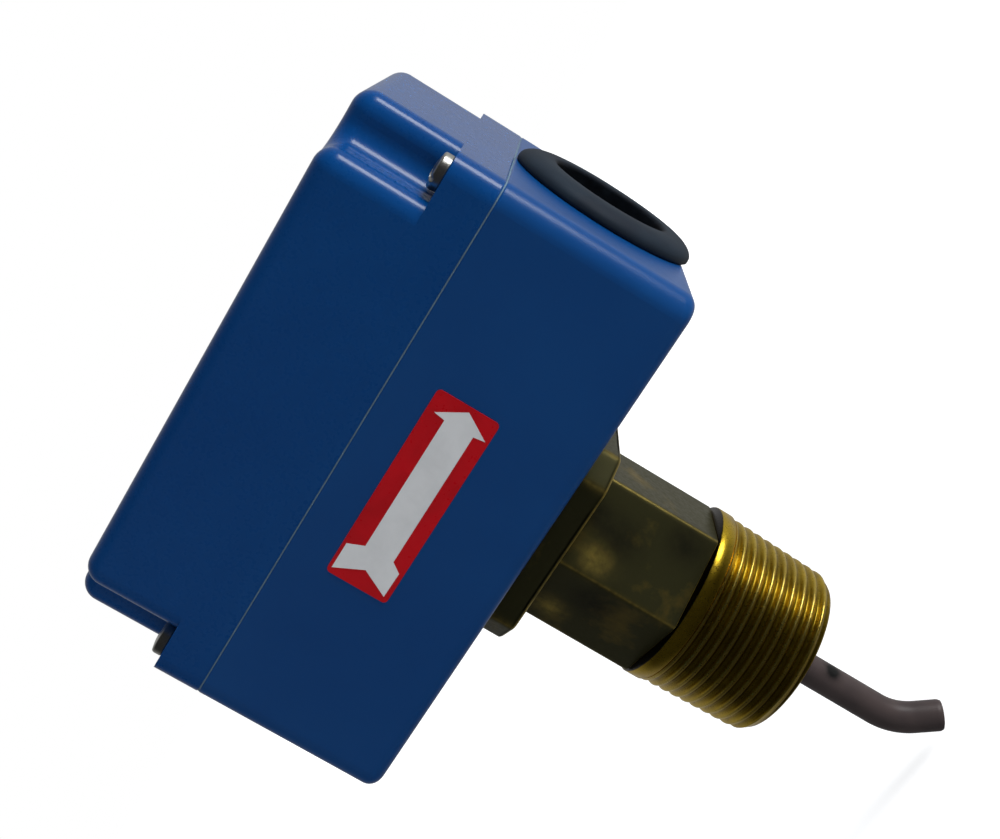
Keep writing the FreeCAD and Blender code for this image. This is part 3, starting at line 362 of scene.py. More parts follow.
# %% Two tones
def two_tone_group():
    """Clouds of a second colour: mask = noise stretched round Balance by Softness."""
    tree, given, result = effect_group(
        "two_tone", [("Main", "colour"), ("Second", "colour"), ("Scale", "value"), ("Balance", "value"),
                     ("Softness", "value")], [("Color", "colour"), ("Mask", "value")])
    place = add_node(tree, "ShaderNodeTexCoord")
    clouds = add_node(tree, "ShaderNodeTexNoise", Vector=place.outputs["Object"],
                      Scale=given.outputs["Scale"], Detail=5.0, Roughness=0.6, Distortion=0.4)
    low = add_node(tree, "ShaderNodeMath", {"operation": "SUBTRACT"}, i0=given.outputs["Balance"],
                   i1=given.outputs["Softness"])
    high = add_node(tree, "ShaderNodeMath", {"operation": "ADD"}, i0=given.outputs["Balance"],
                    i1=given.outputs["Softness"])
    mask = add_node(tree, "ShaderNodeMapRange", Value=clouds.outputs["Fac"], From_Min=low.outputs[0],
                    From_Max=high.outputs[0])
    mix = add_node(tree, "ShaderNodeMix", {"data_type": "RGBA"})
    tree.links.new(mask.outputs[0], mix.inputs["Factor"])
    tree.links.new(given.outputs["Main"], mix.inputs[6])
    tree.links.new(given.outputs["Second"], mix.inputs[7])
    tree.links.new(mix.outputs[2], result.inputs["Color"])
    tree.links.new(mask.outputs[0], result.inputs["Mask"])
    return tree


TWO_TONE = two_tone_group()
print("made the group", TWO_TONE.name)


# %% Fine grain
def fine_grain_group():
    """Height = noise * Depth, in metres, and roughness = Gloss Base + (noise - 0.5) * Spread."""
    tree, given, result = effect_group(
        "fine_grain", [("Scale", "value"), ("Depth", "value"), ("Base", "value"), ("Spread", "value")],
        [("Height", "value"), ("Roughness", "value")])
    place = add_node(tree, "ShaderNodeTexCoord")
    grain = add_node(tree, "ShaderNodeTexNoise", Vector=place.outputs["Object"],
                     Scale=given.outputs["Scale"], Detail=3.0, Roughness=0.55)
    height = add_node(tree, "ShaderNodeMath", {"operation": "MULTIPLY"}, i0=grain.outputs["Fac"],
                      i1=given.outputs["Depth"])
    centred = add_node(tree, "ShaderNodeMath", {"operation": "SUBTRACT"}, i0=grain.outputs["Fac"], i1=0.5)
    spread = add_node(tree, "ShaderNodeMath", {"operation": "MULTIPLY"}, i0=centred.outputs[0],
                      i1=given.outputs["Spread"])
    total = add_node(tree, "ShaderNodeMath", {"operation": "ADD", "use_clamp": True},
                     i0=given.outputs["Base"], i1=spread.outputs[0])
    tree.links.new(height.outputs[0], result.inputs["Height"])
    tree.links.new(total.outputs[0], result.inputs["Roughness"])
    return tree


FINE_GRAIN = fine_grain_group()
print("made the group", FINE_GRAIN.name)


# %% Edge wear
def edge_wear_group():
    """Colour of the bare metal where the piece's own edge value, broken up by noise, is high."""
    tree, given, result = effect_group(
        "edge_wear", [("Base", "colour"), ("Worn", "colour"), ("Scale", "value"), ("Amount", "value")],
        [("Color", "colour"), ("Mask", "value")])
    place = add_node(tree, "ShaderNodeTexCoord")
    edge = add_node(tree, "ShaderNodeAttribute", {"attribute_name": "edge"})
    breaks = add_node(tree, "ShaderNodeTexNoise", Vector=place.outputs["Object"],
                      Scale=given.outputs["Scale"], Detail=4.0, Roughness=0.6)
    uneven = add_node(tree, "ShaderNodeMapRange", Value=breaks.outputs["Fac"], From_Min=0.3,
                      From_Max=0.7, To_Min=0.35, To_Max=1.0)
    worn = add_node(tree, "ShaderNodeMath", {"operation": "MULTIPLY"}, i0=edge.outputs["Fac"],
                    i1=uneven.outputs[0])
    mask = add_node(tree, "ShaderNodeMath", {"operation": "MULTIPLY", "use_clamp": True},
                    i0=worn.outputs[0], i1=given.outputs["Amount"])
    mix = add_node(tree, "ShaderNodeMix", {"data_type": "RGBA"})
    tree.links.new(mask.outputs[0], mix.inputs["Factor"])
    tree.links.new(given.outputs["Base"], mix.inputs[6])
    tree.links.new(given.outputs["Worn"], mix.inputs[7])
    tree.links.new(mix.outputs[2], result.inputs["Color"])
    tree.links.new(mask.outputs[0], result.inputs["Mask"])
    return tree


EDGE_WEAR = edge_wear_group()
print("made the group", EDGE_WEAR.name)


# %% Grime and painted shade
def grime_group():
    """Dark colour where the piece's own value for this effect is high: dirt, smears and knocks on some
    pieces, painted shade in thread roots, hollows and under the hexagon on others. mask = value * (0.7 to 1,
    by noise) * Amount.
    """
    tree, given, result = effect_group(
        "grime", [("Base", "colour"), ("Dirt", "colour"), ("Scale", "value"), ("Amount", "value")],
        [("Color", "colour"), ("Mask", "value")])
    place = add_node(tree, "ShaderNodeTexCoord")
    grime = add_node(tree, "ShaderNodeAttribute", {"attribute_name": "grime"})
    patches = add_node(tree, "ShaderNodeTexNoise", Vector=place.outputs["Object"],
                       Scale=given.outputs["Scale"], Detail=3.0, Roughness=0.6)
    uneven = add_node(tree, "ShaderNodeMapRange", Value=patches.outputs["Fac"], From_Min=0.35,
                      From_Max=0.6, To_Min=0.7, To_Max=1.0)
    spread = add_node(tree, "ShaderNodeMath", {"operation": "MULTIPLY"}, i0=grime.outputs["Fac"],
                      i1=uneven.outputs[0])
    mask = add_node(tree, "ShaderNodeMath", {"operation": "MULTIPLY", "use_clamp": True},
                    i0=spread.outputs[0], i1=given.outputs["Amount"])
    mix = add_node(tree, "ShaderNodeMix", {"data_type": "RGBA"})
    tree.links.new(mask.outputs[0], mix.inputs["Factor"])
    tree.links.new(given.outputs["Base"], mix.inputs[6])
    tree.links.new(given.outputs["Dirt"], mix.inputs[7])
    tree.links.new(mix.outputs[2], result.inputs["Color"])
    tree.links.new(mask.outputs[0], result.inputs["Mask"])
    return tree


GRIME_AND_SHADE = grime_group()
print("made the group", GRIME_AND_SHADE.name)


# %% One finish
WEAR_SCALE, DIRT_AND_SHADE_SCALE = 700, 500


def placed(tree, group, **inputs):
    """The group in that material, with its own values."""
    return add_node(tree, "ShaderNodeGroup", {"node_tree": group}, **inputs)


def finish_of(name, main, second, clouds=60, balance=0.55, softness=0.15, gloss=0.4, spread=0.15,
              grain=900, depth=0.00001, worn=None, wear=1.0, dirt=None, dirt_and_shade_amount=1.0, **shader_values):
    """A material: two tones, optional edge wear, optional grime and painted shade, and a grain that feeds
    roughness and bump.
    shader_values are set on the shader's own sockets, with underscores for spaces."""
    material = bpy.data.materials.new(name)
    material.use_nodes = True
    tree = material.node_tree
    shader = tree.nodes["Principled BSDF"]
    for key, value in shader_values.items():
        shader.inputs[key.replace("_", " ")].default_value = value
    tone = placed(tree, TWO_TONE, Main=(*main, 1), Second=(*second, 1), Scale=clouds, Balance=balance,
                  Softness=softness)
    colour = tone.outputs["Color"]
    if worn is not None:
        bare = placed(tree, EDGE_WEAR, Base=colour, Worn=(*worn, 1), Scale=WEAR_SCALE, Amount=wear)
        colour = bare.outputs["Color"]
    # The dark colour is dirt, smears and knocks on some finishes, and painted shade on the machined brass and
    # the grommet.
    if dirt is not None:
        darkened = placed(tree, GRIME_AND_SHADE, Base=colour, Dirt=(*dirt, 1), Scale=DIRT_AND_SHADE_SCALE, Amount=dirt_and_shade_amount)
        colour = darkened.outputs["Color"]
    tree.links.new(colour, shader.inputs["Base Color"])
    skin = placed(tree, FINE_GRAIN, Scale=grain, Depth=depth, Base=gloss, Spread=spread)
    tree.links.new(skin.outputs["Roughness"], shader.inputs["Roughness"])
    bump = add_node(tree, "ShaderNodeBump", Height=skin.outputs["Height"], Strength=1.0, Distance=1.0)
    tree.links.new(bump.outputs["Normal"], shader.inputs["Normal"])
    return material


# %% [markdown]
# ## Finishes
# The case is cast metal under smooth gloss enamel, so it gets a clear coat and a faint orange peel. The
# base is a little duller than the cover. The brass is bright where it is machined, on the thread, and brown
# and dull on the forged hexagon and flange, apart from its edges and a few golden stains. Inside are
# plated steel, spring steel, phenolic and rubber.

# %% The case's enamel
ENAMEL = finish_of("blue_enamel", (0.0, 0.029, 0.122), (0.0008, 0.037, 0.142), clouds=25, softness=0.25,
                   gloss=0.28, spread=0.08, grain=1100, depth=0.0000025, Specular_IOR_Level=0.18,
                   Coat_Weight=0.28, Coat_Roughness=0.11, Coat_IOR=1.4)

BASE_ENAMEL = finish_of("blue_base_enamel", (0.0, 0.030, 0.124), (0.0012, 0.041, 0.150), clouds=18,
                        softness=0.25, gloss=0.34, spread=0.08, grain=1100, depth=0.0000025,
                        Specular_IOR_Level=0.2, Coat_Weight=0.14, Coat_Roughness=0.22, Coat_IOR=1.4)

# %% Brass, machined and forged
# Its dark colour given for dirt, (0.016, 0.010, 0.003), is painted shade: it darkens the thread's roots, its
# free end round the bore, and the collar's shoulder and the faces above it.
THREAD_BRASS = finish_of("machined_brass", (0.72, 0.49, 0.035), (0.40, 0.26, 0.022), clouds=160,
                         softness=0.2, gloss=0.30, spread=0.2, grain=2500, depth=0.000006,
                         worn=(0.80, 0.62, 0.16), wear=0.8, dirt=(0.016, 0.010, 0.003), dirt_and_shade_amount=1.0,
                         Metallic=1.0)
FORGED_BRASS = finish_of("forged_brass", (0.058, 0.055, 0.021), (0.24, 0.165, 0.030), clouds=85,
                         balance=0.69, softness=0.14, gloss=0.42, spread=0.3, grain=1500,
                         depth=0.00002, worn=(0.52, 0.38, 0.075), wear=0.9, dirt=(0.010, 0.010, 0.008),
                         Metallic=0.8)

# %% Everything else
FINISHES = {
    # The dark colour given for dirt here is painted shade inside the grommet's dish.
    "black_rubber": finish_of("moulded_rubber", (0.008, 0.014, 0.022), (0.006, 0.009, 0.015), clouds=90,
                              gloss=0.62, grain=3000, depth=0.000008, dirt=(0.0012, 0.002, 0.004),
                              Specular_IOR_Level=0.2),
    "gasket_rubber": finish_of("sheet_rubber", (0.03, 0.03, 0.03), (0.05, 0.05, 0.05), clouds=200,
                               gloss=0.75, grain=4000, depth=0.00001),
    "label_red": finish_of("red_film", (0.36, 0.0, 0.004), (0.29, 0.0, 0.003), clouds=120, gloss=0.30,
                           grain=1500, depth=0.000002, Specular_IOR_Level=0.2),
    "zinc_steel": finish_of("zinc_plate", (0.62, 0.61, 0.56), (0.50, 0.50, 0.47), clouds=150, gloss=0.32,
                            grain=2500, depth=0.000004, Metallic=1.0),
    "stainless": finish_of("drawn_steel", (0.60, 0.60, 0.60), (0.46, 0.46, 0.46), clouds=200, gloss=0.28,
                           grain=3500, depth=0.000003, Metallic=1.0),
    "terminal_brass": finish_of("stamped_brass", (0.74, 0.56, 0.20), (0.58, 0.42, 0.14), clouds=250,
                                gloss=0.3, grain=3000, depth=0.000004, Metallic=1.0),
    "phenolic": finish_of("phenolic", (0.018, 0.017, 0.016), (0.03, 0.027, 0.024), clouds=180,
                          gloss=0.45, grain=3500, depth=0.000006),
    "plunger_red": finish_of("red_plunger", (0.40, 0.03, 0.02), (0.32, 0.02, 0.015), clouds=300,
                             gloss=0.4, grain=3000, depth=0.000003),
    "fish_paper": finish_of("fish_paper", (0.50, 0.40, 0.25), (0.42, 0.33, 0.20), clouds=300, gloss=0.8,
                            grain=2500, depth=0.00001),
    "brown_sleeve": finish_of("brown_sleeve", (0.042, 0.031, 0.030), (0.030, 0.023, 0.023), clouds=130,
                              gloss=0.45, grain=1800, depth=0.000015, dirt=(0.003, 0.003, 0.003),
                              Specular_IOR_Level=0.35),
    "earth_green": finish_of("dyed_plate", (0.03, 0.22, 0.08), (0.02, 0.16, 0.06), clouds=200, gloss=0.35,
                             grain=2500, depth=0.000004, Metallic=0.6),
    "blue_paint": ENAMEL,
    "forged_brass": FORGED_BRASS,
}
WHITE_INK = finish_of("white_ink", (0.50, 0.51, 0.52), (0.45, 0.46, 0.47), clouds=200, gloss=0.4,
                      grain=1500, depth=0.000002)
print(len(FINISHES) + len((BASE_ENAMEL, THREAD_BRASS, WHITE_INK)), "finishes")

# %% Finishes on the CAD parts
for row in frame["record"]["subparts"]:
    mesh = nodes[row["node"]].data
    mesh.materials.clear()
    mesh.materials.append(FINISHES[row["material_slot"]])
nodes["base_housing"].data.materials[0] = BASE_ENAMEL

# %% [markdown]
# ## The pipe thread
# A 1 inch taper pipe thread has 11.5 turns to the inch and gets 1 mm wider in 16. A thread could be drawn
# with a screw modifier, but as a formula it can taper, fade out before the collar and be cut by the
# chamfer at its free end. The radius at height z and angle a is
# R(z) - depth * tooth(z / pitch - a / 2 pi), and tooth goes from 0 at a crest to 1 at a root.

# %% Threaded nipple
PITCH = 25.4 / 11.5 * MM
THREAD_DEPTH = 0.85 * MM
CREST_RADIUS = 16.7 * MM
COLLAR_RADIUS, COLLAR_FROM, COLLAR_TO = 17.3 * MM, 12 * MM, 15 * MM
BORE_RADIUS, NECK_LENGTH, NECK_RADIUS = 12 * MM, 18 * MM, 6 * MM
SEAT_RADIUS, SEAT_DEPTH = 8 * MM, 2.5 * MM
SPIGOT_RADIUS = 11 * MM
BEVEL = 0.18 * MM
# Shares of painted shade: at the free end round the bore, in the thread's roots, and on the collar's shoulder
# under the hexagon, where light does not reach.
MOUTH_SHADE, ROOT_SHADE, SHOULDER_SHADE = 0.3, 0.45, 1.6
core_low, core_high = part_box("brass_body")
NIPPLE_END, SPIGOT_TOP = core_low.z, core_high.z
COLUMNS_ROUND = 160


def tooth(turn):
    """Flanks of a 60 degree thread with cut crests and roots: 0 on the crest, 1 at the root."""
    t = np.abs((turn % 1) - 0.5) * 2
    return smooth_step((t - 0.10) / 0.72)


def nipple_surface():
    """Rows go up the outside, over the spigot and back down the bore; the last row meets the first."""
    lead, chamfer = 1.2 * MM, 0.9 * MM
    outside = np.linspace(NIPPLE_END + 0.25 * MM, COLLAR_FROM - 0.25 * MM, 190)
    angle = np.linspace(0, 2 * np.pi, COLUMNS_ROUND, endpoint=False)[None, :]
    z = outside[:, None] + 0 * angle
    crest = CREST_RADIUS + z / 32
    fade = smooth_step((COLLAR_FROM - 0.2 * MM - z) / (1.2 * MM))
    root = THREAD_DEPTH * fade * tooth(z / PITCH - angle / (2 * np.pi))
    from_end = z - NIPPLE_END
    start = crest - chamfer - THREAD_DEPTH * 0.4 + from_end * (chamfer + THREAD_DEPTH * 0.4) / (lead * 1.6)
    radius = np.minimum(crest - root, start)
    thread = np.stack([radius * np.cos(angle), radius * np.sin(angle), z], -1)
    worn = np.clip(1 - root / (0.28 * THREAD_DEPTH), 0, 1)
    before = [(BORE_RADIUS + 0.3 * MM, NIPPLE_END), (CREST_RADIUS - 1.9 * MM, NIPPLE_END),
              (CREST_RADIUS - 1.7 * MM, NIPPLE_END + 0.1 * MM)]
    after = [(CREST_RADIUS + 0.1 * MM, COLLAR_FROM - 0.1 * MM), (COLLAR_RADIUS - BEVEL, COLLAR_FROM),
             (COLLAR_RADIUS, COLLAR_FROM + BEVEL), (COLLAR_RADIUS, COLLAR_TO - BEVEL),
             (COLLAR_RADIUS - BEVEL, COLLAR_TO), (SPIGOT_RADIUS, COLLAR_TO + 0.01 * MM),
             (SPIGOT_RADIUS, SPIGOT_TOP - BEVEL), (SPIGOT_RADIUS - BEVEL, SPIGOT_TOP),
             (SEAT_RADIUS + BEVEL, SPIGOT_TOP), (SEAT_RADIUS, SPIGOT_TOP - BEVEL),
             (SEAT_RADIUS, SPIGOT_TOP - SEAT_DEPTH), (NECK_RADIUS, SPIGOT_TOP - SEAT_DEPTH),
             (NECK_RADIUS, SPIGOT_TOP - NECK_LENGTH), (BORE_RADIUS, SPIGOT_TOP - NECK_LENGTH),
             (BORE_RADIUS, NIPPLE_END + 0.3 * MM)]

    def rings(profile):
        """(radius, height) pairs turned round Z, at the same angles as the thread."""
        p = np.array(profile)
        return np.stack([p[:, :1] * np.cos(angle), p[:, :1] * np.sin(angle), p[:, 1:] + 0 * angle], -1)

    grid = np.concatenate([rings(before), thread, rings(after)])
    edges = np.pad(worn, ((len(before), len(after)), (0, 0)))
    # Painted shade at the free end round the bore, and on the shoulder under the hexagon and the faces above
    # it.
    mouth = np.full((len(before), COLUMNS_ROUND), MOUTH_SHADE)
    shoulder = [SHOULDER_SHADE if COLLAR_TO - 0.01 * MM < height < SPIGOT_TOP else 0.0
                for radius_here, height in after]
    # Painted shade in the roots grows with their depth.
    grime = np.concatenate([mouth, ROOT_SHADE * smooth_step(root / THREAD_DEPTH),
                            np.outer(shoulder, np.ones(COLUMNS_ROUND))])
    return grid, edges, grime


nipple, crest_wear, root_grime = nipple_surface()
points, quads = joined_grids([nipple], loop=True)
piece("pipe_thread", points, quads, "case", "forged_brass", THREAD_BRASS, replaces=["brass_body"],
      sharp_deg=50, edge=crest_wear, grime=root_grime)

# %% [markdown]
# ## Hexagon and flange
# Both are forgings with flat sides and slightly rounded edges. A box with a Bevel modifier would do for
# one of them, but one formula gives both: the outline at angle a is a soft polygon,
# 1 / r = (sum of (cos(a - side) / distance)^p)^(1/p), where a large p keeps the corners crisp. Taking the
# same inset off every distance rounds the upper and lower edges.

# %% Soft polygons
MIDDLE_ROW = 7
CORNER_SHARE = 0.012


def soft_polygon(angle, sides, inset, power):
    """Radius of a polygon with rounded corners. sides are (direction in degrees, distance) pairs."""
    total = 0
    for direction, distance in sides:
        facing = np.cos(angle - math.radians(direction)) / (distance - inset)
        total = total + np.clip(facing, 0, None) ** power
    return total ** (-1 / power)


def forged_ring(sides, low, high, edge_radius, hole, power, columns=288):
    """A closed ring: soft polygon outside, round hole inside. Rows go up the outside and down the hole."""
    angle = np.linspace(0, 2 * np.pi, columns, endpoint=False)
    bend = np.linspace(0, np.pi / 2, 5)
    lower = [(edge_radius * (1 - math.sin(t)), low + edge_radius * (1 - math.cos(t))) for t in bend]
    upper = [(inset, low + high - z) for inset, z in reversed(lower)]
    between = [(0, low + (high - low) * t) for t in np.linspace(0.1, 0.9, 9)]
    profile = lower + between + upper
    near_edge = np.array([inset > 0.15 * edge_radius for inset, z in profile], float)
    outline = [(soft_polygon(angle, sides, inset, power), z) for inset, z in profile]
    rows = [np.stack([radius * np.cos(angle), radius * np.sin(angle), np.full(columns, z)], -1)
            for radius, z in outline + [(hole, high), (hole, low)]]
    full_width = outline[MIDDLE_ROW][0]
    flat = min(distance for direction, distance in sides)
    nearest = np.max([np.cos(angle - math.radians(direction)) * full_width / distance
                      for direction, distance in sides], axis=0)
    corner = np.clip((1 - nearest) / CORNER_SHARE, 0, 1)
    edges = np.maximum(near_edge[:, None], corner[None, :])
    edges = np.concatenate([edges, np.zeros((2, columns))])
    print("least distance of a side:", round(flat / MM, 2), "mm")
    return np.stack(rows), edges


def spots_on(grid, spots):
    """Sum over the spots of exp(-distance^2 / (2 size^2)), at most 1. Spots are ((x, y, z), size) in mm."""
    near = [np.exp(-((grid / MM - np.array(place)) ** 2).sum(-1) / (2 * size ** 2)) for place, size in spots]
    return np.clip(sum(near), 0, 1)


GOLD_STAINS = [((3.0, -15.6, 33.5), 1.8), ((-10.5, -11.2, 34.5), 1.7), ((-13.5, 8.0, 22.0), 2.5),
               ((2.0, 17.0, 30.0), 2.5)]
DARK_SMEARS = [((7.5, -13.0, 31.0), 2.6), ((-4.5, -14.7, 29.0), 3.0), ((9.0, -12.1, 37.0), 2.0),
               ((12.0, -10.4, 20.0), 2.5)]
HEX_SIDES = [(turn, 15 * MM) for turn in range(0, 360, 60)]
FLANGE_X, FLANGE_Y, FLANGE_CUT = 20, 18, 5
FLANGE_SIDES = [(0, FLANGE_X * MM), (180, FLANGE_X * MM), (90, FLANGE_Y * MM), (270, FLANGE_Y * MM)]
FLANGE_DIAGONAL = (FLANGE_X + FLANGE_Y - FLANGE_CUT) / math.sqrt(2) * MM
FLANGE_SIDES += [(turn, FLANGE_DIAGONAL) for turn in (45, 135, 225, 315)]
FLANGE_FROM, FLANGE_TOP = 38.6 * MM, 45 * MM
HEX_GAP, HEX_OVERLAP, HOLE_GAP = 0.12 * MM, 0.3 * MM, 0.02 * MM
CORNER_POWER = 90
STAIN_SHARE, SMEAR_SHARE = 0.8, 0.7

for name, sides, low, high, radius in (
        ("hexagon", HEX_SIDES, COLLAR_TO + HEX_GAP, FLANGE_FROM + HEX_OVERLAP, 0.35 * MM),
        ("brass_flange", FLANGE_SIDES, FLANGE_FROM, FLANGE_TOP, 0.9 * MM)):
    grid, edge = forged_ring(sides, low, high, radius, SPIGOT_RADIUS + HOLE_GAP, CORNER_POWER)
    points, quads = joined_grids([grid], loop=True)
    piece(name, points, quads, "case", "forged_brass", FORGED_BRASS,
          edge=np.maximum(edge, STAIN_SHARE * spots_on(grid, GOLD_STAINS)),
          grime=SMEAR_SHARE * spots_on(grid, DARK_SMEARS))

# %% [markdown]
# ## Flow label
# The label is a printed film: red, with a white arrow that points the way of the flow. The words on it
# are left off. The print could be a texture, but as thin plates its edges stay sharp at any distance.

# %% Label film and arrow
FILM_SHARE, INK_FROM, INK_TO = 0.7, 0.65, 0.97
LABEL_CORNER = 0.8 * MM
ARROW = [(19.5, 67.2), (16.7, 71.8), (16.4, 69.8), (-8.5, 69.8), (-9.7, 72.6), (-14.6, 72.6),
         (-12.1, 67.7), (-14.6, 62.9), (-9.8, 62.8), (-8.5, 64.6), (16.4, 64.6), (16.7, 62.6)]
label_low, label_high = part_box("flow_label")


def plate_on_front(outline, back, front):
    """A flat plate from an outline of (x, z) points, between two values of y."""
    n = len(outline)
    points = [(x, back, z) for x, z in outline] + [(x, front, z) for x, z in outline]
    faces = [tuple(range(n)), tuple(range(2 * n - 1, n - 1, -1))]
    faces += [(i, (i + 1) % n, n + (i + 1) % n, n + i) for i in range(n)]
    return points, faces


def rounded_rectangle(low, high, radius, steps=6):
    """Outline of (x, z) points: a quarter circle round each corner's own centre."""
    outline = []
    for quarter, (cx, cz) in enumerate([(high.x - radius, high.z - radius), (low.x + radius, high.z - radius),
                                        (low.x + radius, low.z + radius), (high.x - radius, low.z + radius)]):
        for t in np.linspace(quarter, quarter + 1, steps) * np.pi / 2:
            outline.append((cx + radius * math.cos(t), cz + radius * math.sin(t)))
    return outline


def label_depth(share):
    """y at that share of the label's thickness, from the case outwards."""
    return label_high.y + share * (label_low.y - label_high.y)


points, faces = plate_on_front(rounded_rectangle(label_low, label_high, LABEL_CORNER), label_depth(0),
                               label_depth(FILM_SHARE))
piece("label_film", points, faces, "case", "label_red", FINISHES["label_red"], replaces=["flow_label"])
points, faces = plate_on_front([(x * MM, z * MM) for x, z in ARROW], label_depth(INK_FROM),
                               label_depth(INK_TO))
piece("label_arrow", points, faces, "case", "label_red", WHITE_INK)

# %% [markdown]
# ## Grommet
# The cable entry is closed by a blind rubber grommet: a domed skirt outside the wall, a groove that grips
# the wall, a lip inside, and a pressed-in centre. It is round, so one profile turned round the entry's
# axis gives all of it, with the dome as a quarter of an ellipse.

# %% Grommet
rim_low, rim_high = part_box("conduit_grommet")
GROMMET_RADIUS = (rim_high.y - rim_low.y) / 2
ENTRY_HEIGHT = (rim_high.z + rim_low.z) / 2
RIM_THICKNESS = 3 * MM
CASE_END = rim_high.x - RIM_THICKNESS
LIP_END = rim_low.x
GROOVE_RADIUS, LIP_RADIUS, DISH_RADIUS = 12.9 * MM, 14 * MM, 10.6 * MM
DISH_FLOOR = CASE_END - 1.4 * MM
DISH_FILLET, MOUTH_FILLET, DOME_FROM, DOME_BASE = 1.2 * MM, 0.8 * MM, 12.6 * MM, 0.7 * MM


def grommet_profile():
    """(radius, x) from the dish's middle out over the dome, through the groove and back to the middle."""
    turn = np.linspace(0, np.pi / 2, 9)
    top = rim_high.x
    dish = [(0, DISH_FLOOR), (4 * MM, DISH_FLOOR), (DISH_RADIUS - DISH_FILLET, DISH_FLOOR)]
    dish += [(DISH_RADIUS - DISH_FILLET * (1 - math.sin(t)), DISH_FLOOR + DISH_FILLET * (1 - math.cos(t)))
             for t in turn[1:]]
    mouth = [(DISH_RADIUS + MOUTH_FILLET * (1 - math.cos(t)), top - MOUTH_FILLET * (1 - math.sin(t)))
             for t in turn]
    dome_high = top - CASE_END - DOME_BASE
    dome = [(DOME_FROM + (GROMMET_RADIUS - DOME_FROM) * math.sin(t),
             CASE_END + DOME_BASE + dome_high * math.cos(t)) for t in turn]
    inside = CASE_END - 3.02 * MM
    rest = [(GROMMET_RADIUS, CASE_END + 0.25 * MM), (GROMMET_RADIUS - 0.25 * MM, CASE_END + 0.03 * MM),
            (GROOVE_RADIUS, CASE_END + 0.02 * MM), (GROOVE_RADIUS, inside), (LIP_RADIUS - 0.3 * MM, inside),
            (LIP_RADIUS, inside - 0.3 * MM), (LIP_RADIUS - 0.6 * MM, LIP_END + 0.3 * MM),
            (LIP_RADIUS - 1.0 * MM, LIP_END), (DISH_RADIUS + 0.4 * MM, LIP_END),
            (DISH_RADIUS, LIP_END + 0.4 * MM), (DISH_RADIUS, DISH_FLOOR - 1.1 * MM),
            (0, DISH_FLOOR - 1.1 * MM)]
    return dish + mouth + dome + rest


profile = np.array(grommet_profile())
rings = turned(profile, 96)
grommet = np.stack([rings[..., 2], rings[..., 0], rings[..., 1] + ENTRY_HEIGHT], -1)
points, quads = joined_grids([grommet])
# Painted shade: the rubber is darker inside the dish, where the recess is shaded.
dish_shade = smooth_step((DISH_RADIUS + 0.9 * MM - profile[:, 0]) / (0.9 * MM))
piece("moulded_grommet", points, quads, "case", "black_rubber", FINISHES["black_rubber"],
      replaces=["conduit_grommet"], sharp_deg=60, grime=np.outer(dish_shade, np.ones(96)))

# %% [markdown]
# ## Screws
# Each screw is turned round its own axis: a rolled thread, a shank, and a head with a rounded shoulder and
# a low dome. A Boolean could cut the driver's slot, but as a formula it is one line: inside the slot
# nothing of the head is higher than the slot's floor. No two slots of a set point the same way, because
# screws are never driven home to the same angle.

# %% Screw shapes
def slot_mask(x, y, width, reach):
    """1 inside a slot along x, 0 outside, with a soft wall."""
    soft = 0.10 * MM
    return smooth_step((width / 2 - np.abs(y)) / soft + 0.5) * smooth_step((reach - np.abs(x)) / soft + 0.5)


def screw_surface(head_radius, head_height, shank_radius, length, cross=False, knurls=0, pitch=0.7 * MM):
    """A screw that points down, with its seat at height 0. The thread is
    r = shank - 0.35 pitch tooth(z / pitch - a / 2 pi), and inside the slot z = min(z, floor)."""
    columns = 72
    angle = np.linspace(0, 2 * np.pi, columns, endpoint=False)[None, :]
    z = np.linspace(-length + 0.3 * MM, -0.02 * MM, int(length / pitch * 7))[:, None] + 0 * angle
    threaded = smooth_step((-0.25 * length - z) / pitch) * smooth_step((z + length) / (1.5 * pitch))
    r = shank_radius - 0.35 * pitch * (threaded * tooth(z / pitch - angle / (2 * np.pi)))
    r = np.minimum(r, shank_radius - 0.5 * MM + (z + length) * 0.8)
    shank = np.stack([r * np.cos(angle), r * np.sin(angle), z], -1)
    tip = turned([(0, -length), (shank_radius - 0.5 * MM, -length)], columns)
    bevel, dome = 0.15 * MM, 0.16 * head_height
    shoulder = 0.24 * head_height
    bend = np.linspace(0, np.pi / 2, 7)
    side = [(shank_radius + 0.02 * MM, 0), (head_radius - bevel, 0), (head_radius, bevel)]
    side += [(head_radius, h) for h in np.linspace(bevel, head_height - dome - shoulder, 6)[1:]]
    side += [(head_radius - shoulder * (1 - math.cos(t)), head_height - dome - shoulder * (1 - math.sin(t)))
             for t in bend[1:]]
    inner = head_radius - shoulder
    top = [(inner * t, head_height - dome * t * t) for t in np.linspace(1, 0, 30)[1:]]
    head = turned(side + top, columns)
    if knurls:
        ridge = 1 - 0.05 * np.abs(np.sin(knurls * angle[0] / 2))
        outer = np.hypot(head[..., 0], head[..., 1]) > head_radius - shoulder
        head[..., :2] *= np.where(outer, ridge[None, :], 1)[..., None]
    x, y, h = head[..., 0], head[..., 1], head[..., 2]
    if cross:
        arm = 0.62 * head_radius
        mask = np.maximum(slot_mask(x, y, 0.2 * head_radius, arm), slot_mask(y, x, 0.2 * head_radius, arm))
    else:
        mask = slot_mask(x, y, 0.25 * head_radius, 2 * head_radius)
    floor = head_height * 0.55
    head[..., 2] = np.where(h > floor, h - (h - floor) * mask, h)
    return np.concatenate([tip, shank, head])


def stood_at(grid, place, to_front=False, turn=0.0):
    """The shape turned round its own axis, then moved. With to_front, its head looks towards -Y."""
    x = grid[..., 0] * math.cos(turn) - grid[..., 1] * math.sin(turn)
    y = grid[..., 0] * math.sin(turn) + grid[..., 1] * math.cos(turn)
    z = grid[..., 2]
    stood = np.stack([x, -z, y], -1) if to_front else np.stack([x, y, z], -1)
    return stood + np.array(place)


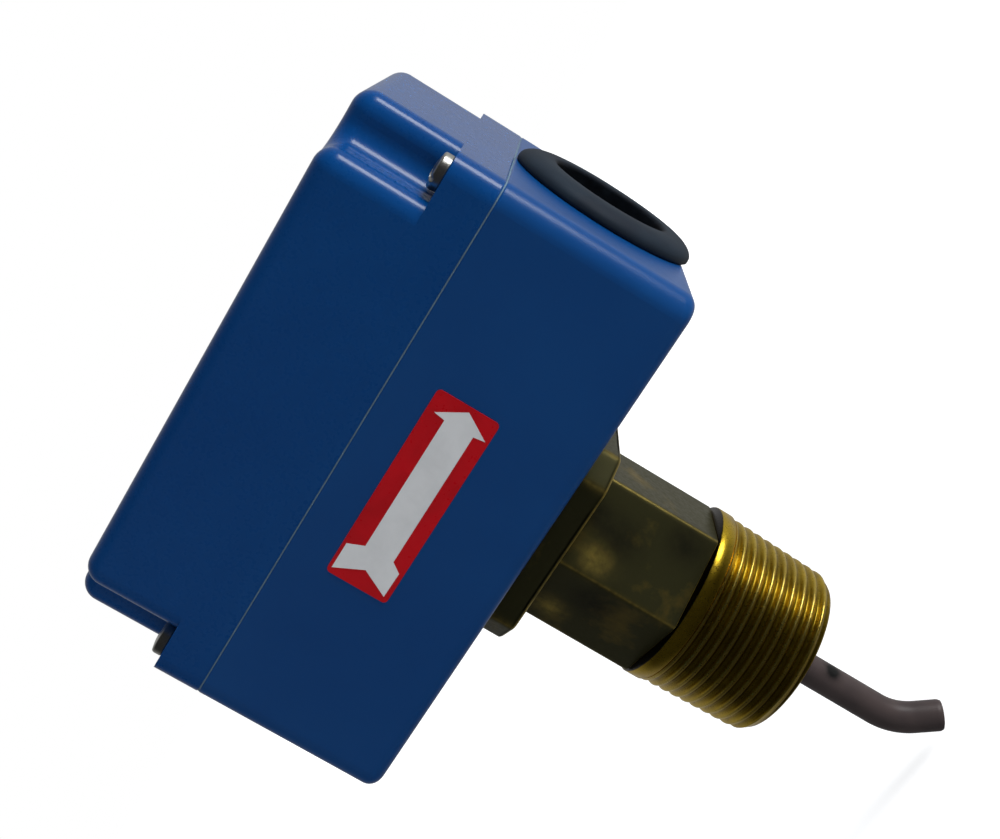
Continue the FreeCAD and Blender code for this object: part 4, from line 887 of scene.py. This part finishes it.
# %% Upright screws
def corner_places(node, head_radius, head_height):
    """The four seats of a node with a screw at each corner of its box."""
    low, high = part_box(node)
    return [(x, y, high.z - head_height) for x in (low.x + head_radius, high.x - head_radius)
            for y in (low.y + head_radius, high.y - head_radius)]


terminal_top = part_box("terminal_screws")[1].z
earth_low, earth_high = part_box("earth_screw")
SMALL_HEAD, SMALL_HEIGHT = 3 * MM, 2.2 * MM
COVER_HEAD, COVER_HEIGHT = 3.4 * MM, 2.4 * MM
SHOWN_HEAD, SHOWN_HEIGHT = 0.92 * COVER_HEAD, 0.88 * COVER_HEIGHT
FIRST_TURN, NEXT_TURN = 0.5, 1.9
EARTH_HEAD = (earth_high.x - earth_low.x) / 2
UPRIGHT_SCREWS = [
    ("cover_screws", SHOWN_HEAD, SHOWN_HEIGHT, 2 * MM, "cover_assembly", "zinc_steel", False,
     corner_places("cover_screws", COVER_HEAD, COVER_HEIGHT)),
    ("flange_screws", SMALL_HEAD, SMALL_HEIGHT, 1.98 * MM, "case", "zinc_steel", True,
     corner_places("flange_screws", SMALL_HEAD, SMALL_HEIGHT)),
    ("terminal_screws", SMALL_HEAD, SMALL_HEIGHT, 1.68 * MM, "case", "zinc_steel", False,
     [(x * MM, 0, terminal_top - SMALL_HEIGHT) for x in (-17, 5, 18)]),
    ("earth_screw", EARTH_HEAD, SMALL_HEIGHT, 1.68 * MM, "case", "earth_green", True,
     [((earth_low.x + earth_high.x) / 2, (earth_low.y + earth_high.y) / 2, earth_high.z - SMALL_HEIGHT)]),
]
for node, head_radius, head_height, shank_radius, body, slot, cross, places in UPRIGHT_SCREWS:
    length = places[0][2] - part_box(node)[0].z
    shape = screw_surface(head_radius, head_height, shank_radius, length, cross)
    grids = [stood_at(shape, place, turn=FIRST_TURN + NEXT_TURN * n) for n, place in enumerate(places)]
    points, quads = joined_grids(grids)
    piece("turned_" + node, points, quads, body, slot, FINISHES[slot], replaces=[node], sharp_deg=40)

# %% Switch screws and adjusting screw
switch_low, switch_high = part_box("switch_screws")
SWITCH_HEAD = 3.4 * MM
seat_y = switch_low.y + SMALL_HEIGHT
shape = screw_surface(SWITCH_HEAD, SMALL_HEIGHT, 1.98 * MM, switch_high.y - seat_y, cross=True)
middle_z = (switch_low.z + switch_high.z) / 2
grids = [stood_at(shape, (x, seat_y, middle_z), to_front=True, turn=turn)
         for x, turn in ((switch_low.x + SWITCH_HEAD, 0.4), (switch_high.x - SWITCH_HEAD, 1.1))]
points, quads = joined_grids(grids)
piece("turned_switch_screws", points, quads, "case", "zinc_steel", FINISHES["zinc_steel"],
      replaces=["switch_screws"], sharp_deg=40)

adjuster_low, adjuster_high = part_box("range_screw")
ADJUSTER_HEAD, ADJUSTER_HEIGHT = (adjuster_high.x - adjuster_low.x) / 2, 4 * MM
adjuster_seat = adjuster_high.z - ADJUSTER_HEIGHT
adjuster_axis = (adjuster_low.x + ADJUSTER_HEAD, 0, adjuster_seat)
shape = screw_surface(ADJUSTER_HEAD, ADJUSTER_HEIGHT, 2 * MM, adjuster_seat - adjuster_low.z, knurls=40)
COLLAR_BELOW = [(1.9 * MM, -1.72 * MM), (2.8 * MM, -1.72 * MM), (3 * MM, -1.9 * MM), (3 * MM, -2.7 * MM),
                (2.8 * MM, -2.88 * MM), (1.9 * MM, -2.88 * MM)]
points, quads = joined_grids([stood_at(shape, adjuster_axis)])
ring_points, ring_quads = joined_grids([stood_at(turned(COLLAR_BELOW), adjuster_axis)], loop=True)
piece("knurled_adjuster", np.concatenate([points, ring_points]),
      np.concatenate([quads, ring_quads + len(points)]), "adjuster", "zinc_steel", FINISHES["zinc_steel"],
      replaces=["range_screw"], sharp_deg=40)

# %% [markdown]
# ## Range spring
# The spring pulls the lever back, and its force is set with the knurled screw. It is a wire along a helix,
# with closed turns at both ends. Its lower half is stretched by the lever and its upper half by the nut, so
# it is two pieces that meet at rest in the middle.

# %% Range spring
spring_low, spring_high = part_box("range_spring")
WIRE = 0.42 * MM
COIL_RADIUS = (spring_high.x - spring_low.x) / 2 - 0.5 * MM
SPRING_X = (spring_low.x + spring_high.x) / 2
SPRING_MIDDLE = (spring_low.z + spring_high.z) / 2
TURNS, CLOSED_TURNS = 8.5, 1.5


def spring_path(turns, steps=44):
    """A helix. Its pitch is one wire in the closed turns at each end, and even between them."""
    t = np.linspace(0, turns, int(turns * steps) + 1)
    slow = 2 * WIRE * 1.02
    fast = (spring_high.z - spring_low.z - 2 * WIRE - 2 * CLOSED_TURNS * slow) / (turns - 2 * CLOSED_TURNS)
    rise = slow + (fast - slow) * smooth_step((t - CLOSED_TURNS) / 0.5 + 0.5) * smooth_step(
        (turns - CLOSED_TURNS - t) / 0.5 + 0.5)
    height = np.concatenate([[0], np.cumsum((rise[1:] + rise[:-1]) / 2 * np.diff(t))])
    height *= (spring_high.z - spring_low.z - 2 * WIRE) / height[-1]
    angle = 2 * np.pi * t
    return np.stack([SPRING_X + COIL_RADIUS * np.cos(angle), COIL_RADIUS * np.sin(angle),
                     spring_low.z + WIRE + height], -1)


coil = spring_path(TURNS)
half = len(coil) // 2 + 1
for name, path, bodies, ends, replaced in (
        ("spring_lower_half", coil[:half], ("lever_assembly", "case"), (spring_low.z, SPRING_MIDDLE),
         ["range_spring"]),
        ("spring_upper_half", coil[half - 1:], ("case", "adjuster_nut"), (SPRING_MIDDLE, spring_high.z), [])):
    wire = tube_along(path, WIRE, (0, 0, 1), sides=12)
    capped = np.concatenate([np.repeat(path[:1, None], 12, 1), wire, np.repeat(path[-1:, None], 12, 1)])
    points, quads = joined_grids([capped])
    made = piece(name, points, quads, None, "stainless", FINISHES["stainless"], replaced)
    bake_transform(made)

# %% [markdown]
# ## Lever sleeve
# The part of the lever that stands in the flow has a brown sleeve. It follows the rod's path, which is a
# straight run, an arc and a short straight tip, so it is a tube along that path with bevelled ends. Two
# dark knocks on the straight run are its only marks.

# %% Lever sleeve
sleeve_low, sleeve_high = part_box("lever_sleeve")
SLEEVE_RADIUS = 3 * MM
BEND_FROM, BEND_RADIUS, BEND_TURN, TIP_LENGTH = -31 * MM, 12 * MM, math.radians(38), 5 * MM
KNOCKS = [((2.6, -1.5, -12.2), 0.8), ((2.7, -1.3, -19.5), 1.0)]


def lever_path():
    """Points down the rod: x = 0 to the bend, then an arc about (BEND_RADIUS, BEND_FROM), then the tip."""
    down = np.linspace(sleeve_high.z, BEND_FROM, 60)[:-1]
    turn = np.linspace(0, BEND_TURN, 28)
    straight = np.stack([0 * down, 0 * down, down], -1)
    arc = np.stack([BEND_RADIUS * (1 - np.cos(turn)), 0 * turn, BEND_FROM - BEND_RADIUS * np.sin(turn)], -1)
    reach = np.linspace(0, TIP_LENGTH, 10)[1:, None]
    tip = arc[-1] + reach * np.array([math.sin(BEND_TURN), 0, -math.cos(BEND_TURN)])
    return np.concatenate([straight, arc, tip])


path = lever_path()
ring_path = np.concatenate([path[:1], path, path[-1:]])
radii = np.full(len(ring_path), SLEEVE_RADIUS)
radii[[0, -1]] = 0
radii[1] = radii[-2] = SLEEVE_RADIUS - 0.25 * MM
sleeve = tube_along(path, 1.0, (0, 1, 0), sides=40) - path[:, None]
sleeve = np.concatenate([sleeve[:1], sleeve, sleeve[-1:]]) * radii[:, None, None] + ring_path[:, None]
points, quads = joined_grids([sleeve])
piece("bent_sleeve", points, quads, "lever_assembly", "brown_sleeve", FINISHES["brown_sleeve"],
      replaces=["lever_sleeve"], sharp_deg=50, grime=2 * spots_on(sleeve, KNOCKS))

# %% [markdown]
# ## Gasket bead
# Where cover and base meet, the gasket shows as a fine bead between their two rounded edges. Its pale blue
# colour is a painted highlight along the seam.

# %% Gasket bead
case_low, case_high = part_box("cover")
BEAD_RADIUS, BEAD_INSET, CASE_CORNER = 0.22 * MM, 0.30 * MM, 4 * MM


def case_line(inset, height, steps=12):
    """The case's outline drawn in by the inset: quarter circles round the corners' own centres."""
    reach = CASE_CORNER - inset
    line = []
    for quarter, (sx, sy) in enumerate(((1, 1), (-1, 1), (-1, -1), (1, -1))):
        cx = (case_high.x if sx > 0 else case_low.x) - sx * CASE_CORNER
        cy = (case_high.y if sy > 0 else case_low.y) - sy * CASE_CORNER
        for t in np.linspace(quarter, quarter + 1, steps) * np.pi / 2:
            line.append((cx + reach * math.cos(t), cy + reach * math.sin(t), height))
    return np.array(line)


bead = tube_along(case_line(BEAD_INSET, case_low.z), BEAD_RADIUS, (0, 0, 1), sides=10, closed=True)
points, quads = joined_grids([bead], loop=True)
# Painted highlight: the bead's pale blue stands in for the light caught along the seam.
SEAM_HIGHLIGHT_FINISH = finish_of("seal_painted_highlight", (0.075, 0.125, 0.165), (0.06, 0.10, 0.14), clouds=150, gloss=0.6,
                      grain=2500, depth=0.000004)
piece("gasket_bead", points, quads, "case", "gasket_rubber", SEAM_HIGHLIGHT_FINISH, sharp_deg=80)
